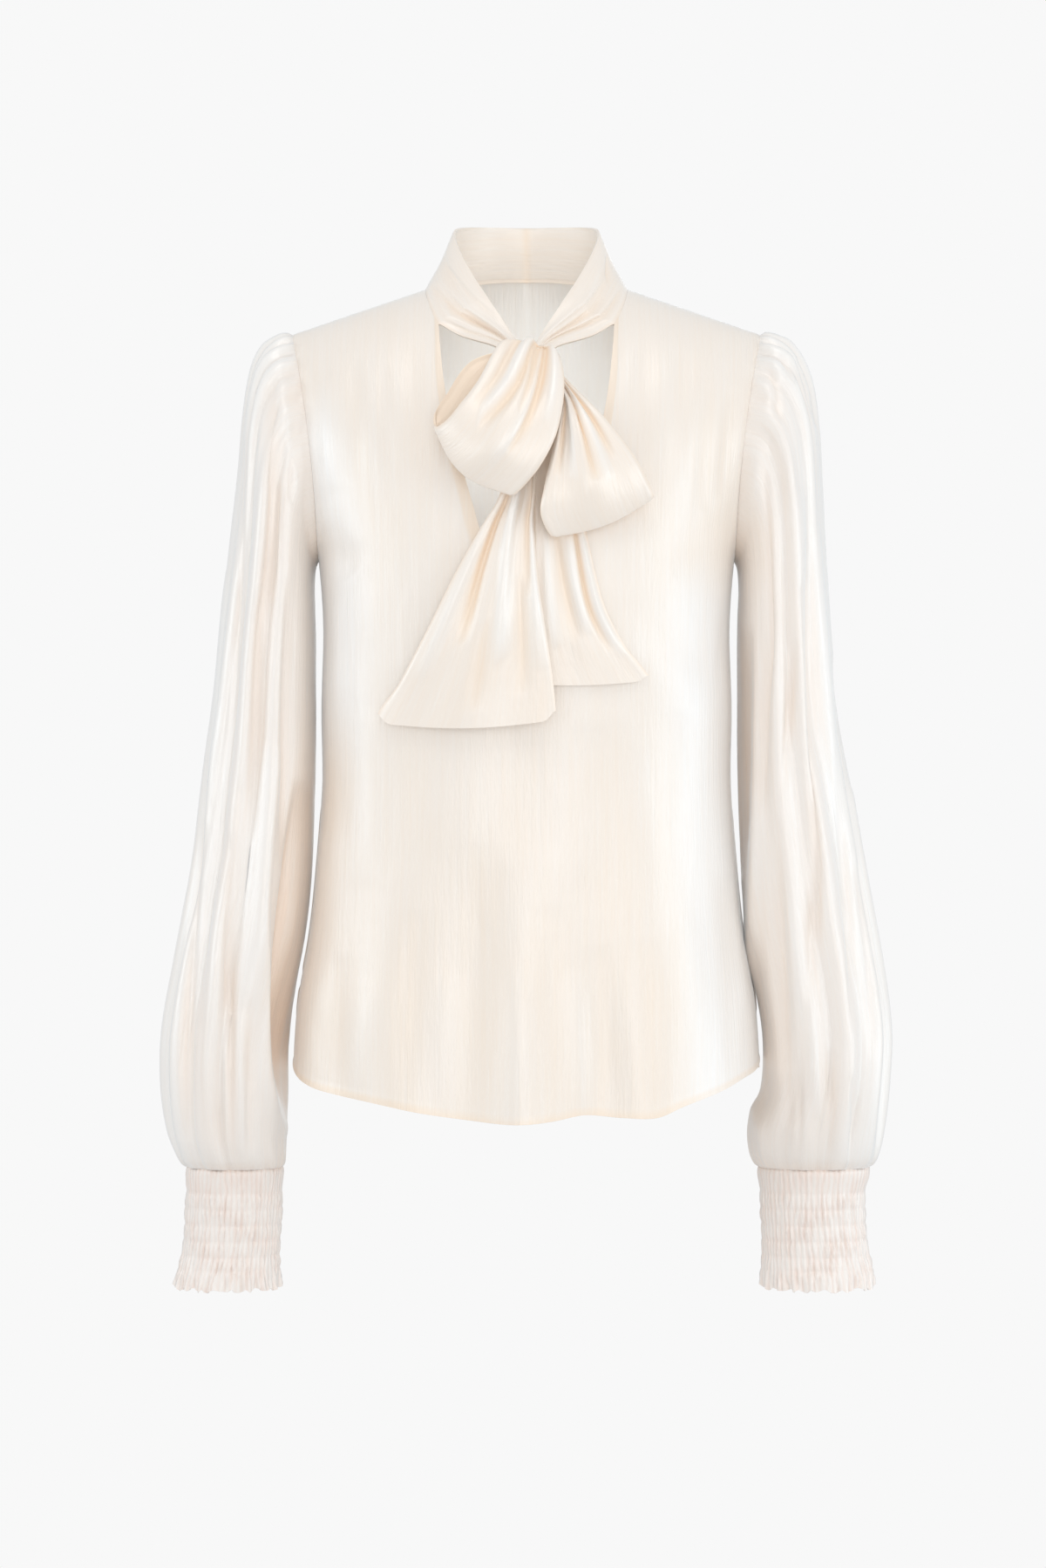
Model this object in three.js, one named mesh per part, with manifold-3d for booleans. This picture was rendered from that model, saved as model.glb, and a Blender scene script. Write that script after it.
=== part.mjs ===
// A tie-neck blouse, filled out as it is worn, with nobody inside it.
// Millimetres. +Z is up, the front faces -Y, and +X is the wearer's left side. The origin lies
// midway between the two points where the shoulder seams meet the collar, where shoulders hold it.
// Tables give heights as a drop below the origin. Cloth is a wall made from grids of points on
// its outer face, and the thickness goes inwards.
import * as THREE from "three";
import { mergeVertices } from "three/addons/utils/BufferGeometryUtils.js";
import Module from "manifold-3d";

// Driving dimensions
const SINGLE_CLOTH = 1.2;
const DOUBLE_CLOTH = 1.8;
const HALF_SEAM = 0.2;
const SEAM_GAP = 0.4;

const NECK_HALF = 76;
const SHOULDER_HALF = 177;
const SHOULDER_DROP = 34;
const BACK_NECK_RISE = 14;
const NECK_SLOPE = 0.6;
const NECK_CORNER = 1.6;
const NECK_COLUMNS = 4;

const UNDERARM_DROP = 205;
const UNDERARM_HALF = 157;
const SIDE_HEM_DROP = 588;
const BACK_HEM_CURVE = 2.6;
const COLUMN_SPREAD = 0.8;
const EDGE_PULL = 4;

const CAP_DEPTH = 130;
const CAP_ROUND = 2.2;
const SIDE_ROUND = 2.5;

const HEM_WAVE = 5;
const HEM_WAVE_LENGTH = 100;
const HEM_WAVE_START = 380;
const HEM_WAVE_FULL = 600;

const SLEEVE_POINTS = 40;
const SLEEVE_FOLDS = 10;
const SLEEVE_FORWARD = 6;
const GATHER_DRIFT = 0.35;
const BODY_SIDE_CALM = 0.75;

const CUFF_RIBS = 30;
const CUFF_WALL = 1.3;
const RIB_UNEVEN = 0.25;
const FRILL = 0.5;

const COLLAR_POINTS = 6;
const COLLAR_HOLLOW = 1.5;
const COLLAR_FOLDS = 1.5;
const KNOT_CLEARANCE = 0.35;
const KNOT_WRAP = 0.05;

// How near a point lies to the edge that it belongs to
const EDGE_FIND = 0.05;

// The body of the blouse: half of its width, and how far its front and back stand from the middle
const BODY_FORM = [
  { drop: -60, halfWidth: 186, front: 82, back: 88 },
  { drop: 0, halfWidth: 188, front: 89, back: 93 },
  { drop: 40, halfWidth: 187, front: 95, back: 98 },
  { drop: 80, halfWidth: 184, front: 101, back: 102 },
  { drop: 120, halfWidth: 179, front: 107, back: 104 },
  { drop: 160, halfWidth: 168, front: 113, back: 103 },
  { drop: 190, halfWidth: 160.5, front: 117, back: 100 },
  { drop: 205, halfWidth: 157, front: 118, back: 98.5 },
  { drop: 255, halfWidth: 153.5, front: 117, back: 93 },
  { drop: 316, halfWidth: 155, front: 111, back: 88 },
  { drop: 374, halfWidth: 154.5, front: 107, back: 86 },
  { drop: 450, halfWidth: 160, front: 106, back: 89 },
  { drop: 490, halfWidth: 164.5, front: 107, back: 92 },
  { drop: 540, halfWidth: 173, front: 109, back: 96 },
  { drop: 590, halfWidth: 176.5, front: 111, back: 99 },
  { drop: 640, halfWidth: 178, front: 113, back: 101 },
];

// Rows of the front: the middle line, which is the edge of the neck opening where it has an x
const FRONT_ROWS = [
  { centreDrop: 33, centreX: 65, sideDrop: 34 },
  { centreDrop: 42, centreX: 64.4, sideDrop: 41 },
  { centreDrop: 55, centreX: 63.2, sideDrop: 52 },
  { centreDrop: 75, centreX: 61, sideDrop: 70 },
  { centreDrop: 100, centreX: 57, sideDrop: 95 },
  { centreDrop: 125, centreX: 51.5, sideDrop: 122 },
  { centreDrop: 148, centreX: 45.5, sideDrop: 148 },
  { centreDrop: 170, centreX: 39, sideDrop: 172 },
  { centreDrop: 190, centreX: 33.3, sideDrop: 192 },
  { centreDrop: 210, centreX: 25.8, sideDrop: 205 },
  { centreDrop: 230, centreX: 14.5, sideDrop: 222 },
  { centreDrop: 246, centreX: 0, sideDrop: 245 },
  { centreDrop: 275, centreX: 0, sideDrop: 275 },
  { centreDrop: 315, centreX: 0, sideDrop: 312 },
  { centreDrop: 360, centreX: 0, sideDrop: 352 },
  { centreDrop: 405, centreX: 0, sideDrop: 394 },
  { centreDrop: 450, centreX: 0, sideDrop: 437 },
  { centreDrop: 495, centreX: 0, sideDrop: 479 },
  { centreDrop: 540, centreX: 0, sideDrop: 520 },
  { centreDrop: 583, centreX: 0, sideDrop: 557 },
  { centreDrop: 622, centreX: 0, sideDrop: 588 },
];
const BACK_ROWS = [
  { centreDrop: -14, centreX: 0, sideDrop: 34 },
  { centreDrop: -2, centreX: 0, sideDrop: 41 },
  { centreDrop: 14, centreX: 0, sideDrop: 52 },
  { centreDrop: 38, centreX: 0, sideDrop: 70 },
  { centreDrop: 68, centreX: 0, sideDrop: 95 },
  { centreDrop: 102, centreX: 0, sideDrop: 122 },
  { centreDrop: 136, centreX: 0, sideDrop: 150 },
  { centreDrop: 168, centreX: 0, sideDrop: 178 },
  { centreDrop: 200, centreX: 0, sideDrop: 205 },
  { centreDrop: 240, centreX: 0, sideDrop: 242 },
  { centreDrop: 288, centreX: 0, sideDrop: 286 },
  { centreDrop: 340, centreX: 0, sideDrop: 335 },
  { centreDrop: 394, centreX: 0, sideDrop: 386 },
  { centreDrop: 450, centreX: 0, sideDrop: 438 },
  { centreDrop: 506, centreX: 0, sideDrop: 490 },
  { centreDrop: 562, centreX: 0, sideDrop: 540 },
  { centreDrop: 616, centreX: 0, sideDrop: 588 },
];

// The hem of the front waves a little, from the wearer's right to the wearer's left
const FRONT_HEM = [
  { x: -178, drop: 588 },
  { x: -152, drop: 601 },
  { x: -117, drop: 607 },
  { x: -76, drop: 615 },
  { x: -44, drop: 619.5 },
  { x: -8, drop: 622.5 },
  { x: 20, drop: 620 },
  { x: 42, drop: 616 },
  { x: 70, drop: 618 },
  { x: 96, drop: 618 },
  { x: 114, drop: 611 },
  { x: 146, drop: 600 },
  { x: 162, drop: 592 },
  { x: 178, drop: 588 },
];

// Sleeves: each ring runs from a point on the outer line to one on the inner line, and is
// gathered by fold. The first ring is the armhole.
const RIGHT_SLEEVE = [
  { outX: 187, outDrop: 37, inX: 159.5, inDrop: 211, depth: 64, fold: 0.9 },
  { outX: 198.7, outDrop: 46, inX: 160.5, inDrop: 224, depth: 67, fold: 2.4 },
  { outX: 207, outDrop: 64, inX: 160, inDrop: 243, depth: 69, fold: 3.2 },
  { outX: 213, outDrop: 97, inX: 159.5, inDrop: 268, depth: 70, fold: 3.6 },
  { outX: 217.5, outDrop: 143, inX: 159.5, inDrop: 303, depth: 68, fold: 3.8 },
  { outX: 226, outDrop: 222, inX: 159.5, inDrop: 350, depth: 65, fold: 3.8 },
  { outX: 233.6, outDrop: 302, inX: 160.5, inDrop: 395, depth: 62, fold: 3.8 },
  { outX: 241.6, outDrop: 361, inX: 162.5, inDrop: 441, depth: 61, fold: 4 },
  { outX: 250, outDrop: 434, inX: 166.5, inDrop: 481, depth: 61, fold: 4.2 },
  { outX: 263, outDrop: 506, inX: 174.5, inDrop: 530, depth: 62, fold: 4.2 },
  { outX: 272, outDrop: 559, inX: 179, inDrop: 572, depth: 62, fold: 4.2 },
  { outX: 273, outDrop: 599, inX: 179.5, inDrop: 608, depth: 60, fold: 4 },
  { outX: 268.6, outDrop: 635, inX: 182, inDrop: 638, depth: 54, fold: 3.2 },
  { outX: 262, outDrop: 655, inX: 182.8, inDrop: 655, depth: 45, fold: 1.8 },
  { outX: 257.5, outDrop: 663.2, inX: 184, inDrop: 663.2, depth: 38, fold: 1 },
];
const LEFT_SLEEVE = [
  { outX: 186, outDrop: 36, inX: 159.5, inDrop: 211, depth: 64, fold: 0.9 },
  { outX: 199, outDrop: 43, inX: 160.5, inDrop: 224, depth: 67, fold: 2.4 },
  { outX: 212, outDrop: 64, inX: 160, inDrop: 243, depth: 69, fold: 3.2 },
  { outX: 219, outDrop: 95, inX: 159.5, inDrop: 268, depth: 70, fold: 3.6 },
  { outX: 222.5, outDrop: 143, inX: 159.5, inDrop: 303, depth: 68, fold: 3.8 },
  { outX: 226, outDrop: 222, inX: 159.5, inDrop: 350, depth: 65, fold: 3.8 },
  { outX: 232, outDrop: 302, inX: 160.5, inDrop: 395, depth: 62, fold: 3.8 },
  { outX: 241, outDrop: 361, inX: 162.5, inDrop: 441, depth: 61, fold: 4 },
  { outX: 253, outDrop: 434, inX: 166.5, inDrop: 481, depth: 61, fold: 4.2 },
  { outX: 266, outDrop: 506, inX: 174.5, inDrop: 530, depth: 62, fold: 4.2 },
  { outX: 272.5, outDrop: 559, inX: 179, inDrop: 572, depth: 62, fold: 4.2 },
  { outX: 271, outDrop: 599, inX: 177.5, inDrop: 604, depth: 60, fold: 4 },
  { outX: 267.5, outDrop: 635, inX: 168.5, inDrop: 632, depth: 54, fold: 3.2 },
  { outX: 264, outDrop: 655, inX: 169.5, inDrop: 651, depth: 45, fold: 1.8 },
  { outX: 260, outDrop: 663.2, inX: 175, inDrop: 663.2, depth: 38, fold: 1 },
];
// How deep each of the long gathers of a sleeve is, from the shoulder round the front
const GATHER_DEPTHS = [1, 0.8, 1.15, 0.7, 0.5, 0.35, 0.5, 0.9, 1.1, 0.75];

// Cuffs: shirred rows pinch the ribs, and the edge below the last row is a small frill
const RIGHT_CUFF = [
  { drop: 663.6, outX: 257.5, inX: 184, depth: 38, rib: 0.5 },
  { drop: 671, outX: 257.2, inX: 184.6, depth: 37.6, rib: 1 },
  { drop: 679, outX: 256.8, inX: 185.2, depth: 37, rib: 0.5 },
  { drop: 692, outX: 257.5, inX: 185.5, depth: 37, rib: 1.1 },
  { drop: 705, outX: 257.8, inX: 186.2, depth: 36.5, rib: 0.5 },
  { drop: 718, outX: 259, inX: 187, depth: 36.6, rib: 1.1 },
  { drop: 731, outX: 261, inX: 187.5, depth: 37, rib: 0.5 },
  { drop: 742, outX: 264, inX: 187, depth: 38.5, rib: 1.5 },
  { drop: 753, outX: 266.5, inX: 186, depth: 40, rib: 1.8 },
];
const LEFT_CUFF = [
  { drop: 663.6, outX: 260, inX: 175, depth: 38, rib: 0.5 },
  { drop: 671, outX: 258.5, inX: 176, depth: 37.6, rib: 1 },
  { drop: 679, outX: 256.5, inX: 177, depth: 37, rib: 0.5 },
  { drop: 692, outX: 255.7, inX: 177.7, depth: 37, rib: 1.1 },
  { drop: 705, outX: 256, inX: 178.2, depth: 36.5, rib: 0.5 },
  { drop: 718, outX: 257.5, inX: 178.8, depth: 36.6, rib: 1.1 },
  { drop: 731, outX: 259.5, inX: 178.6, depth: 37, rib: 0.5 },
  { drop: 742, outX: 262, inX: 177.8, depth: 38.5, rib: 1.5 },
  { drop: 753, outX: 263, inX: 178, depth: 40, rib: 1.8 },
];

// The upper edge of one half of the collar, from the middle of the back to the knot, and the
// depth of its creases. The fifth row is over the shoulder seam.
const COLLAR_TOP = [
  { x: 0, y: 50, drop: -53.5, fold: 0 },
  { x: 24, y: 46.5, drop: -53.5, fold: 0 },
  { x: 44, y: 33, drop: -52, fold: 0 },
  { x: 54, y: 15, drop: -48.5, fold: 0 },
  { x: 55.5, y: -3, drop: -41.5, fold: 0.3 },
  { x: 52, y: -20, drop: -30.5, fold: 1 },
  { x: 46, y: -37, drop: -17, fold: 1.7 },
  { x: 38, y: -52, drop: -2, fold: 2 },
  { x: 30, y: -64, drop: 11, fold: 2 },
  { x: 22.5, y: -73, drop: 23, fold: 1.6 },
  { x: 15.5, y: -80, drop: 34, fold: 1.3 },
  { x: 9.5, y: -87, drop: 44, fold: 0.9 },
  { x: 4, y: -97, drop: 54, fold: 0.3 },
];
// The lower edge follows the neckline to the corner of the opening, then these points
const COLLAR_FREE_EDGE = [
  { x: 51, y: -73, drop: 41 },
  { x: 38, y: -81, drop: 46 },
  { x: 25, y: -89, drop: 50.5 },
  { x: 12, y: -98, drop: 58.5 },
];

// The bow. Every section runs from edge a to edge b. Off is how far the cloth stands in front
// of the body's form, belly is the swell between the edges, reach moves the middle on past
// them, and fold is the depth of the gathers.
const KNOT = { x: 2, drop: 61, off: 12, halfX: 14, halfY: 10, halfZ: 10 };
const RIGHT_LOOP = [
  { ax: -9, aDrop: 53, aOff: 15, bx: 13, bDrop: 58, bOff: 15, belly: 0, reach: 0, fold: 0.5 },
  { ax: -20, aDrop: 50.5, aOff: 24, bx: 23.5, bDrop: 58, bOff: 23, belly: 2, reach: -4, fold: 2.6 },
  { ax: -36, aDrop: 80, aOff: 31, bx: 28, bDrop: 83, bOff: 30, belly: 6, reach: 1, fold: 3 },
  { ax: -49, aDrop: 98, aOff: 35, bx: 23, bDrop: 117, bOff: 34, belly: 8, reach: 5, fold: 2.2 },
  { ax: -58, aDrop: 109, aOff: 33, bx: 10, bDrop: 144, bOff: 32, belly: 7, reach: 9, fold: 1.2 },
  { ax: -67, aDrop: 114, aOff: 25, bx: -8, bDrop: 164, bOff: 22, belly: 0, reach: 13, fold: 0.3 },
  { ax: -67.5, aDrop: 104, aOff: 17.5, bx: -7, bDrop: 157, bOff: 16, belly: 0, reach: 10, fold: 0 },
  { ax: -58.5, aDrop: 90, aOff: 16.5, bx: 5, bDrop: 138, bOff: 17, belly: 0, reach: 6, fold: 0.4 },
  { ax: -41, aDrop: 66, aOff: 17, bx: 18, bDrop: 100, bOff: 18, belly: 0, reach: 2, fold: 0.8 },
  { ax: -12, aDrop: 56, aOff: 14, bx: 10, bDrop: 64, bOff: 15, belly: 0, reach: 0, fold: 0.4 },
];
const LEFT_LOOP = [
  { ax: 12, aDrop: 58, aOff: 12, bx: 9, bDrop: 65, bOff: 12, belly: 0, reach: 0, fold: 0 },
  { ax: 32, aDrop: 80, aOff: 16, bx: 25, bDrop: 91, bOff: 16, belly: 1, reach: 0, fold: 0.2 },
  { ax: 55, aDrop: 104, aOff: 24, bx: 21, bDrop: 118, bOff: 23, belly: 6, reach: -1, fold: 2.2 },
  { ax: 78, aDrop: 134, aOff: 27, bx: 12.5, bDrop: 157, bOff: 26, belly: 8, reach: -3, fold: 1.8 },
  { ax: 89, aDrop: 154, aOff: 24, bx: 10, bDrop: 178, bOff: 22, belly: 5, reach: -5, fold: 0.8 },
  { ax: 93, aDrop: 165, aOff: 16, bx: 18, bDrop: 194, bOff: 15, belly: 0, reach: -6, fold: 0.2 },
  { ax: 87, aDrop: 158, aOff: 9, bx: 22, bDrop: 186, bOff: 9.5, belly: 0, reach: -5, fold: 0 },
  { ax: 64, aDrop: 127, aOff: 8.5, bx: 26, bDrop: 146, bOff: 9, belly: 0, reach: -2, fold: 0.3 },
  { ax: 41, aDrop: 100, aOff: 8.5, bx: 29, bDrop: 104, bOff: 9, belly: 0, reach: 0, fold: 0.2 },
  { ax: 12, aDrop: 62, aOff: 8.5, bx: 9, bDrop: 69, bOff: 8.5, belly: 0, reach: 0, fold: 0 },
];
const RIGHT_TAIL = [
  { ax: -7, aDrop: 63, aOff: 12, bx: 6, bDrop: 63, bOff: 12, belly: 0, reach: 0, fold: 0 },
  { ax: -12, aDrop: 92, aOff: 9.5, bx: 8, bDrop: 92, bOff: 9.5, belly: 0, reach: 0, fold: 1 },
  { ax: -15, aDrop: 130, aOff: 9.5, bx: 8, bDrop: 130, bOff: 9.5, belly: 0, reach: 0, fold: 1.4 },
  { ax: -20, aDrop: 162, aOff: 9.5, bx: 7, bDrop: 160, bOff: 9.5, belly: 0, reach: 0, fold: 1.8 },
  { ax: -34, aDrop: 187, aOff: 9.5, bx: 6, bDrop: 184, bOff: 9.5, belly: 1, reach: 0, fold: 2 },
  { ax: -52, aDrop: 219, aOff: 9.5, bx: 8.5, bDrop: 222, bOff: 10, belly: 1.5, reach: 0, fold: 2 },
  { ax: -71, aDrop: 257, aOff: 9, bx: 13.5, bDrop: 257, bOff: 10, belly: 2, reach: 0, fold: 1.8 },
  { ax: -91, aDrop: 295, aOff: 8, bx: 19, bDrop: 295, bOff: 10, belly: 2, reach: 1, fold: 1.4 },
  { ax: -110, aDrop: 329, aOff: 6, bx: 21.5, bDrop: 327, bOff: 10, belly: 2, reach: 5, fold: 1 },
];
const LEFT_TAIL = [
  { ax: 1, aDrop: 64, aOff: 5.5, bx: 8, bDrop: 64, bOff: 5.5, belly: 0, reach: 0, fold: 0 },
  { ax: 3, aDrop: 95, aOff: 4.2, bx: 20, bDrop: 95, bOff: 4.2, belly: 0, reach: 0, fold: 0.5 },
  { ax: 4, aDrop: 130, aOff: 4, bx: 28, bDrop: 130, bOff: 4, belly: 0, reach: 0, fold: 1 },
  { ax: 4, aDrop: 158, aOff: 4, bx: 34, bDrop: 158, bOff: 4, belly: 0, reach: 0, fold: 1.2 },
  { ax: 4, aDrop: 188, aOff: 4, bx: 43, bDrop: 188, bOff: 4, belly: 0, reach: 0, fold: 1.3 },
  { ax: 3, aDrop: 219, aOff: 4, bx: 50, bDrop: 219, bOff: 4, belly: 0.5, reach: 0, fold: 1.3 },
  { ax: 3, aDrop: 247, aOff: 4, bx: 58, bDrop: 246, bOff: 4, belly: 0.5, reach: 0, fold: 1.2 },
  { ax: 3, aDrop: 274, aOff: 4, bx: 71, bDrop: 271, bOff: 4, belly: 0.5, reach: 0, fold: 1 },
  { ax: 4, aDrop: 301, aOff: 4, bx: 89.5, bDrop: 298, bOff: 4, belly: 0.5, reach: 2, fold: 0.7 },
];

const clamp = (value, low, high) => Math.min(high, Math.max(low, value));
const lerp = (a, b, t) => a + (b - a) * t;
const ease = (from, to, value) => {
  const t = clamp((value - from) / (to - from), 0, 1);
  return t * t * (3 - 2 * t);
};

// One column of a table at a place between its rows, on a smooth curve through them
function along(table, key, column, place) {
  const last = table.length - 1;
  const at = clamp(place, table[0][key], table[last][key]);
  let i = 0;
  while (i < last - 1 && at > table[i + 1][key]) i += 1;
  const slope = (k) => {
    const a = table[Math.max(0, k - 1)];
    const b = table[Math.min(last, k + 1)];
    return (b[column] - a[column]) / (b[key] - a[key]);
  };
  const width = table[i + 1][key] - table[i][key];
  const t = (at - table[i][key]) / width;
  const rise = table[i + 1][column] - table[i][column];
  const curve = t * (1 - t) * ((1 - t) * (slope(i) * width - rise) - t * (slope(i + 1) * width - rise));
  return table[i][column] + rise * t + curve;
}

// A whole row of a table at a fractional row number
function rowAt(table, place) {
  const numbered = table.map((row, i) => ({ ...row, i }));
  const made = {};
  for (const column of Object.keys(table[0])) made[column] = along(numbered, "i", column, place);
  return made;
}

// The form that the body hangs on
function ridge(x) {
  const out = Math.abs(x) - NECK_HALF;
  return out > 0 ? (-out * SHOULDER_DROP) / (SHOULDER_HALF - NECK_HALF) : -out * NECK_SLOPE;
}

function hemWave(x, drop) {
  const strength = HEM_WAVE * ease(HEM_WAVE_START, HEM_WAVE_FULL, drop);
  const middle = 1 - (x / SHOULDER_HALF) ** 4;
  return strength * Math.max(0, middle) * Math.cos((2 * Math.PI * x) / HEM_WAVE_LENGTH);
}

// The y of the body's front (side -1) or back (side 1)
function formY(side, x, drop) {
  const halfWidth = along(BODY_FORM, "drop", "halfWidth", drop);
  const depth = along(BODY_FORM, "drop", side < 0 ? "front" : "back", drop);
  const across = Math.min(1, Math.abs(x) / halfWidth);
  const round = (1 - across ** SIDE_ROUND) ** (1 / SIDE_ROUND);
  const height = clamp((CAP_DEPTH - drop) / (CAP_DEPTH + ridge(x)), 0, 1);
  const cap = (1 - height ** CAP_ROUND) ** (1 / CAP_ROUND);
  return side * (depth * round * cap + hemWave(x, drop));
}

function armholeX(drop) {
  const up = (UNDERARM_DROP - drop) / (UNDERARM_DROP - SHOULDER_DROP);
  return UNDERARM_HALF + (SHOULDER_HALF - UNDERARM_HALF) * up * up;
}

function sideX(drop) {
  return drop < UNDERARM_DROP ? armholeX(drop) : along(BODY_FORM, "drop", "halfWidth", drop);
}

// The neckline of one half, as x and drop: 0 is the corner of the front opening or the middle
// of the back, and 1 is the shoulder seam
function frontNeckline(t) {
  const down = (1 - t) ** 2;
  return {
    x: lerp(NECK_HALF, FRONT_ROWS[0].centreX, down ** NECK_CORNER),
    drop: FRONT_ROWS[0].centreDrop * down,
  };
}

function backNeckline(t) {
  const x = NECK_HALF * Math.sin((t * Math.PI) / 2);
  return { x, drop: -BACK_NECK_RISE * (1 - (x / NECK_HALF) ** 2) };
}

function bodyPoint(side, x, drop) {
  return new THREE.Vector3(x, formY(side, x, drop) + side * HALF_SEAM, -drop);
}

// One half of the front or back, as a grid of points, from the middle to the side
function panelHalf(side, mirror, rows, neckline, columns, hemDrop) {
  const grid = [];
  const bottom = rows[rows.length - 1];
  const fractions = [];
  for (let i = 0; i <= columns; i += 1) {
    fractions.push(Math.sin((Math.PI / 2) * (i / columns)) ** COLUMN_SPREAD);
  }
  const top = fractions.map((u, i) => {
    if (i <= NECK_COLUMNS) return neckline(i / NECK_COLUMNS);
    const start = fractions[NECK_COLUMNS];
    const x = lerp(NECK_HALF, SHOULDER_HALF, (u - start) / (1 - start));
    return { x, drop: -ridge(x) };
  });
  for (const row of rows) {
    const v = (row.sideDrop - SHOULDER_DROP) / (SIDE_HEM_DROP - SHOULDER_DROP);
    const line = fractions.map((u, i) => {
      const firstX = lerp(rows[0].centreX, SHOULDER_HALF, u);
      const firstDrop = lerp(rows[0].centreDrop, SHOULDER_DROP, u);
      const lastDrop = lerp(bottom.centreDrop, bottom.sideDrop, u);
      const topPull = (1 - v) ** EDGE_PULL;
      const hemPull = v ** EDGE_PULL;
      const x = lerp(row.centreX, sideX(row.sideDrop), u) + topPull * (top[i].x - firstX);
      const hem = hemDrop(mirror * u * sideX(SIDE_HEM_DROP));
      let drop = lerp(row.centreDrop, row.sideDrop, u);
      drop += topPull * (top[i].drop - firstDrop) + hemPull * (hem - lastDrop);
      const point = bodyPoint(side, mirror * x, drop);
      if (i === columns && row.sideDrop >= UNDERARM_DROP) point.y = side * HALF_SEAM;
      if (Math.abs(point.x) < 1e-6) point.x = 0;
      return point;
    });
    grid.push(line);
  }
  return grid;
}

// A closed wall of cloth from grids of outer points. Points that coincide are shared. inside
// gives a point on the hollow's side, and trim may turn the thickness at an edge.
function clothWall(grids, thickness, inside, trim) {
  const points = [];
  const places = new Map();
  const place = (p) => {
    const key = [p.x, p.y, p.z].map((value) => Math.round(value * 100)).join();
    if (!places.has(key)) {
      places.set(key, points.length);
      points.push(p.clone());
    }
    return places.get(key);
  };
  let triangles = [];
  for (const { rows, flip } of grids) {
    const ids = rows.map((row) => row.map(place));
    for (let r = 0; r + 1 < ids.length; r += 1) {
      for (let c = 0; c + 1 < ids[r].length; c += 1) {
        const corners = [ids[r][c], ids[r][c + 1], ids[r + 1][c + 1], ids[r + 1][c]];
        if (flip) corners.reverse();
        triangles.push([corners[0], corners[1], corners[2]], [corners[0], corners[2], corners[3]]);
      }
    }
  }
  triangles = triangles.filter(([a, b, c]) => a !== b && b !== c && c !== a);
  const normals = points.map(() => new THREE.Vector3());
  for (const [a, b, c] of triangles) {
    const one = points[b].clone().sub(points[a]);
    const face = one.cross(points[c].clone().sub(points[a]));
    for (const id of [a, b, c]) normals[id].add(face);
  }
  let outward = 0;
  points.forEach((p, id) => {
    outward += normals[id].dot(p.clone().sub(inside(p)));
  });
  if (outward < 0) {
    normals.forEach((n) => n.negate());
    triangles = triangles.map(([a, b, c]) => [a, c, b]);
  }
  const count = points.length;
  const inner = points.map((p, id) => {
    const normal = normals[id].normalize();
    if (trim) trim(normal, p);
    return p.clone().addScaledVector(normal.normalize(), -thickness);
  });
  const edges = new Set();
  for (const [a, b, c] of triangles) {
    edges.add(`${a},${b}`).add(`${b},${c}`).add(`${c},${a}`);
  }
  const faces = [];
  for (const [a, b, c] of triangles) faces.push(a, b, c, a + count, c + count, b + count);
  for (const edge of edges) {
    const [a, b] = edge.split(",").map(Number);
    if (edges.has(`${b},${a}`)) continue;
    faces.push(b, a, a + count, b, a + count, b + count);
  }
  return shellGeometry([...points, ...inner], faces);
}

function shellGeometry(points, faces) {
  const geometry = new THREE.BufferGeometry();
  const numbers = points.flatMap((p) => p.toArray());
  geometry.setAttribute("position", new THREE.Float32BufferAttribute(numbers, 3));
  geometry.setIndex(faces);
  geometry.computeVertexNormals();
  return geometry;
}

// The front and the back of the body, each in one piece
const axisInside = (p) => new THREE.Vector3(0, 0, p.z);
const alongSeams = (normal, p) => {
  if (Math.abs(p.y) < 2 * HALF_SEAM) normal.y = 0;
};

function bodyPanel(side, rows, neckline, columns, hemDrop) {
  const halves = [-1, 1].map((mirror) => ({
    rows: panelHalf(side, mirror, rows, neckline, columns, hemDrop),
    flip: mirror > 0,
  }));
  return clothWall(halves, SINGLE_CLOTH, axisInside, alongSeams);
}

const frontHem = (x) => along(FRONT_HEM, "x", "drop", x);
const backHem = (x) => {
  const middle = BACK_ROWS[BACK_ROWS.length - 1].centreDrop;
  const out = clamp(Math.abs(x) / sideX(SIDE_HEM_DROP), 0, 1);
  return lerp(middle, SIDE_HEM_DROP, out ** BACK_HEM_CURVE);
};

// Rings of a sleeve, from the armhole to the cuff. Angle 0 is the outer line.
function gather(angle, fold, ring) {
  const turn = (angle / (2 * Math.PI)) * SLEEVE_FOLDS;
  const index = Math.round(turn) % SLEEVE_FOLDS;
  const wave = Math.cos(2 * Math.PI * turn + GATHER_DRIFT * Math.sin(ring * 0.9 + index));
  const nearBody = 1 - BODY_SIDE_CALM * Math.max(0, -Math.cos(angle));
  return fold * GATHER_DEPTHS[index] * wave * nearBody;
}

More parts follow.
